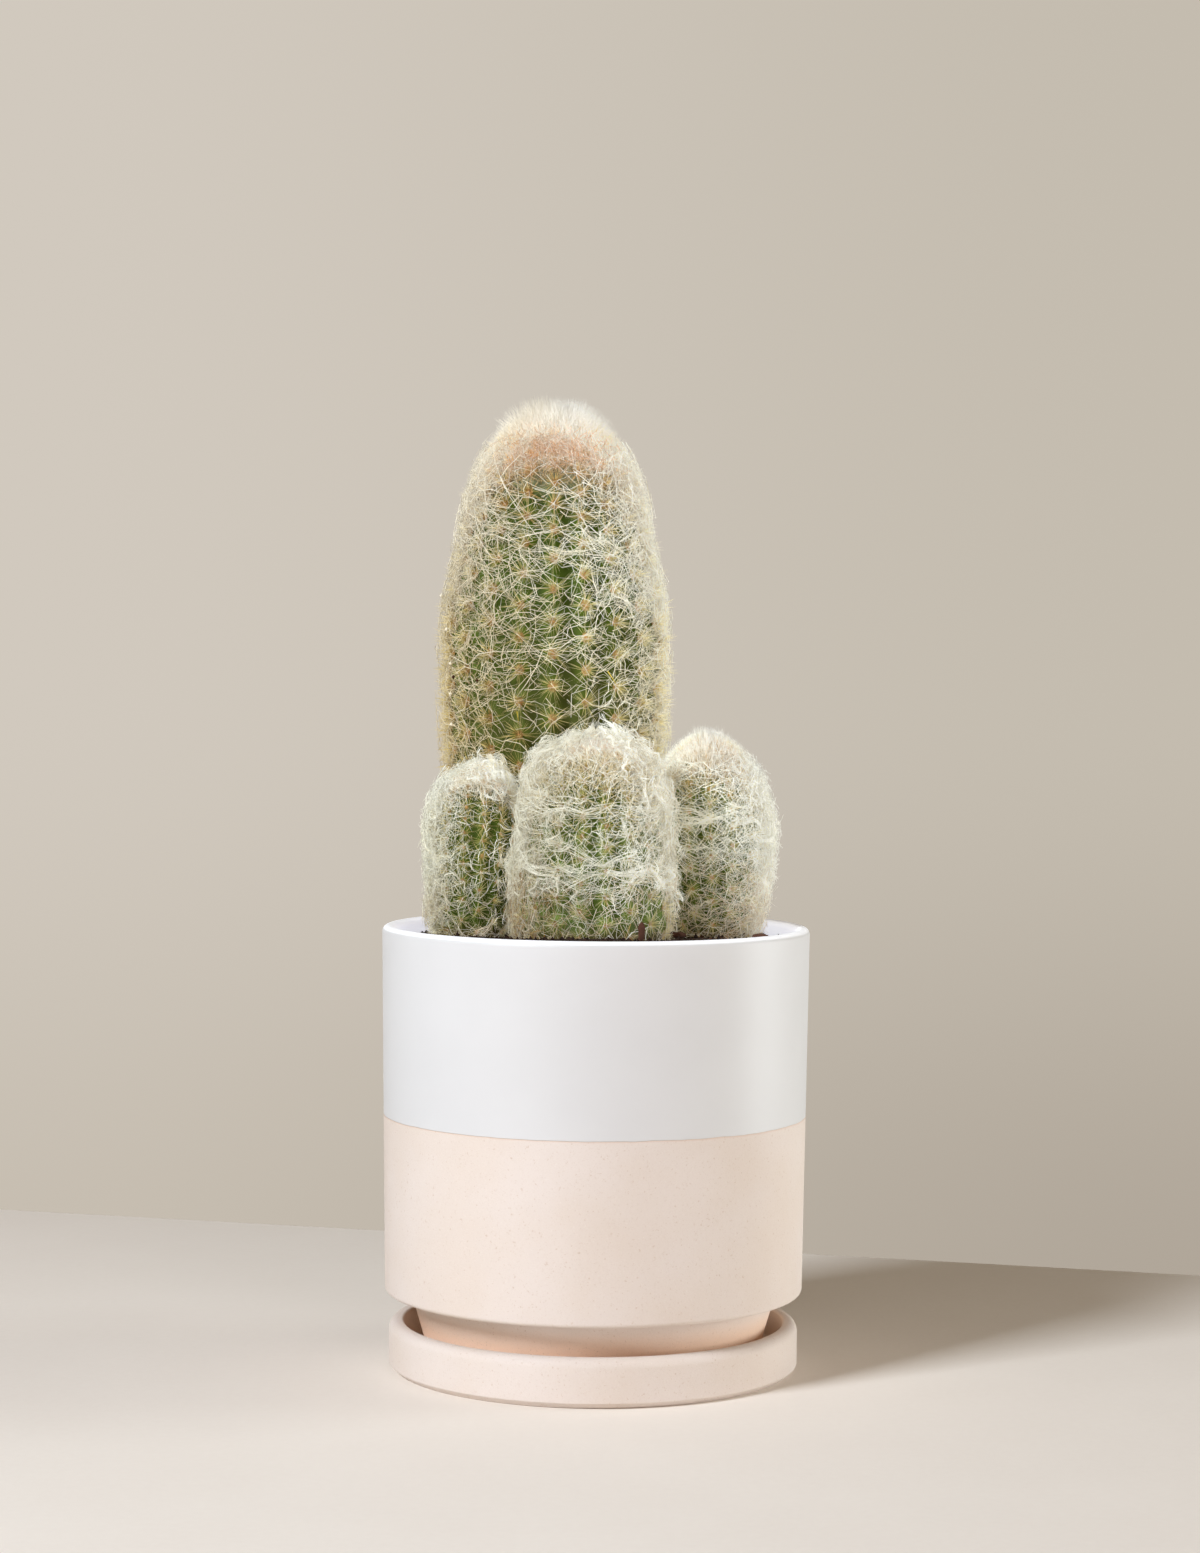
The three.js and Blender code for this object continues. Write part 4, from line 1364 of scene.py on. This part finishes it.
# %% Wool on the right and left stems
hair_piece("right_wool", right, [
    web(right, 73, 1350, 0.19, 10, (1.0, 3.4), (0.2, 0.66), warm=0.2, steep=0.7, stations=4),
    web(right, 86, 880, 0.19, 9, (0.8, 3.2), (0.62, 1.0), warm=0.8, dark=WOOL_DUSTY, bent=0.7, steep=0.7,
        stations=4),
    web(right, 81, 2600, 0.18, 6, (1.0, 4.2), (0.24, 1.0), (RIGHT_SIDE - 0.35, 0.5), warm=0, bent=0.9,
        tilt=0.8),
    wool(right, 39, 200, 0.2, 16, 3.8, (0.25, 1.0), swing=1.1),
    wool(right, 41, 26, 0.17, 24, 4.4, (0.42, 0.56), slant=0.15, swing=0.5, tuft=(8, 0.45, 0.5), warm=0),
    wool(right, 87, 20, 0.17, 20, 3.8, (0.68, 0.95), slant=0.6, swing=1.4, tuft=(6, 0.4, 0.8), warm=0.3),
])
hair_piece("left_wool", left, [
    web(left, 74, 600, 0.17, 7.5, (0.8, 3.0), (0.3, 1.0), warm=0.3, stations=4),
    web(left, 79, 1300, 0.18, 7, (0.8, 3.4), (0.2, 0.9), (LEFT_SIDE + 0.35, 0.45), bent=1.2, tilt=0.8,
        stations=5),
    web(left, 80, 500, 0.17, 6, (0.6, 2.6), (0.0, 0.2), bent=1.2, tilt=0.8, stations=5),
    wool(left, 42, 130, 0.19, 10, 3.4, (0.3, 1.0), swing=1.3, stations=6),
    wool(left, 43, 40, 0.15, 9, 4.2, (0.05, 0.9), (RIGHT_SIDE, 0.7), slant=1.4, swing=1.6, tuft=(8, 0.5, 1.4),
         warm=1.0, stations=6),
    wool(left, 47, 34, 0.16, 7, 4.0, (0.0, 0.25), (RIGHT_SIDE - 0.5, 0.9), slant=1.6, tuft=(6, 0.5, 1.2),
         warm=0, stations=5),
    wool(left, 44, 14, 0.15, 16, 3.4, (0.3, 0.9), slant=0.6, swing=0.8, tuft=(8, 0.5, 0.0)),
])

# %% [markdown]
# ## Bark on the soil
# Three flakes of bark lie on the soil or stand in it. Each is a thin splintered piece, so a tube of ragged
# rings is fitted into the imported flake's box along its longest side, and the streaks run with the grain.

# %% Bark flakes
BARK_DARK = colour(50, 26, 18)
BARK_RED = colour(112, 68, 44)
FLAKE_RINGS, FLAKE_SIDES = 9, 12
FLAKE_END = 0.94  # where the first and last ring are, as a share of half the length
bark_finish = Finish("red_brown_bark", roughness=0.9)
streaks = bark_finish.noise(0.7, 4, 0.7, stretch=(1, 1, 3))
bark_finish.wear("Base Color", bark_finish.mix(streaks, BARK_DARK, BARK_RED))
bark_finish.wear("Normal", bark_finish.bump(streaks, 0.4))


def bark_flake(node, seed):
    """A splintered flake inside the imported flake's box."""
    low, high = box_of(node)
    middle, half = (low + high) / 2, (high - low) / 2
    random = np.random.default_rng(seed)
    turn = np.arange(FLAKE_SIDES) * 2 * math.pi / FLAKE_SIDES
    longest = int(np.argmax(half))
    others = [axis for axis in range(3) if axis != longest]
    shape = np.zeros((FLAKE_RINGS, FLAKE_SIDES, 3))
    for ring, share in enumerate(np.linspace(-FLAKE_END, FLAKE_END, FLAKE_RINGS)):
        wide = (1 - abs(share) ** 3) ** 0.5 * random.uniform(0.75, 1.0)
        ragged = random.uniform(0.8, 1.0, FLAKE_SIDES)
        shape[ring, :, longest] = share
        shape[ring, :, others[0]] = np.cos(turn) * wide * ragged
        shape[ring, :, others[1]] = np.sin(turn) * wide * ragged
    if np.linalg.det(np.eye(3)[[others[0], others[1], longest]]) < 0:
        shape = shape[:, ::-1]
    ends = np.eye(3)[longest]
    points, faces = tube(shape, -ends, ends)
    made = mesh_object(f"{node}_flake", middle + points * half, faces, bark_finish, sharp_degrees=35)
    piece(f"{node}_flake", made, [node])


for seed, node in enumerate(["bark_chip_front", "bark_chip_middle", "bark_chip_right"], 51):
    bark_flake(node, seed)

# %% Finish
print("triangles in all:", sum(triangle_counts.values()))
sizes = {"packed": [list(corner) for corner in packed_box], "looks": [list(corner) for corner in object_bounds()]}
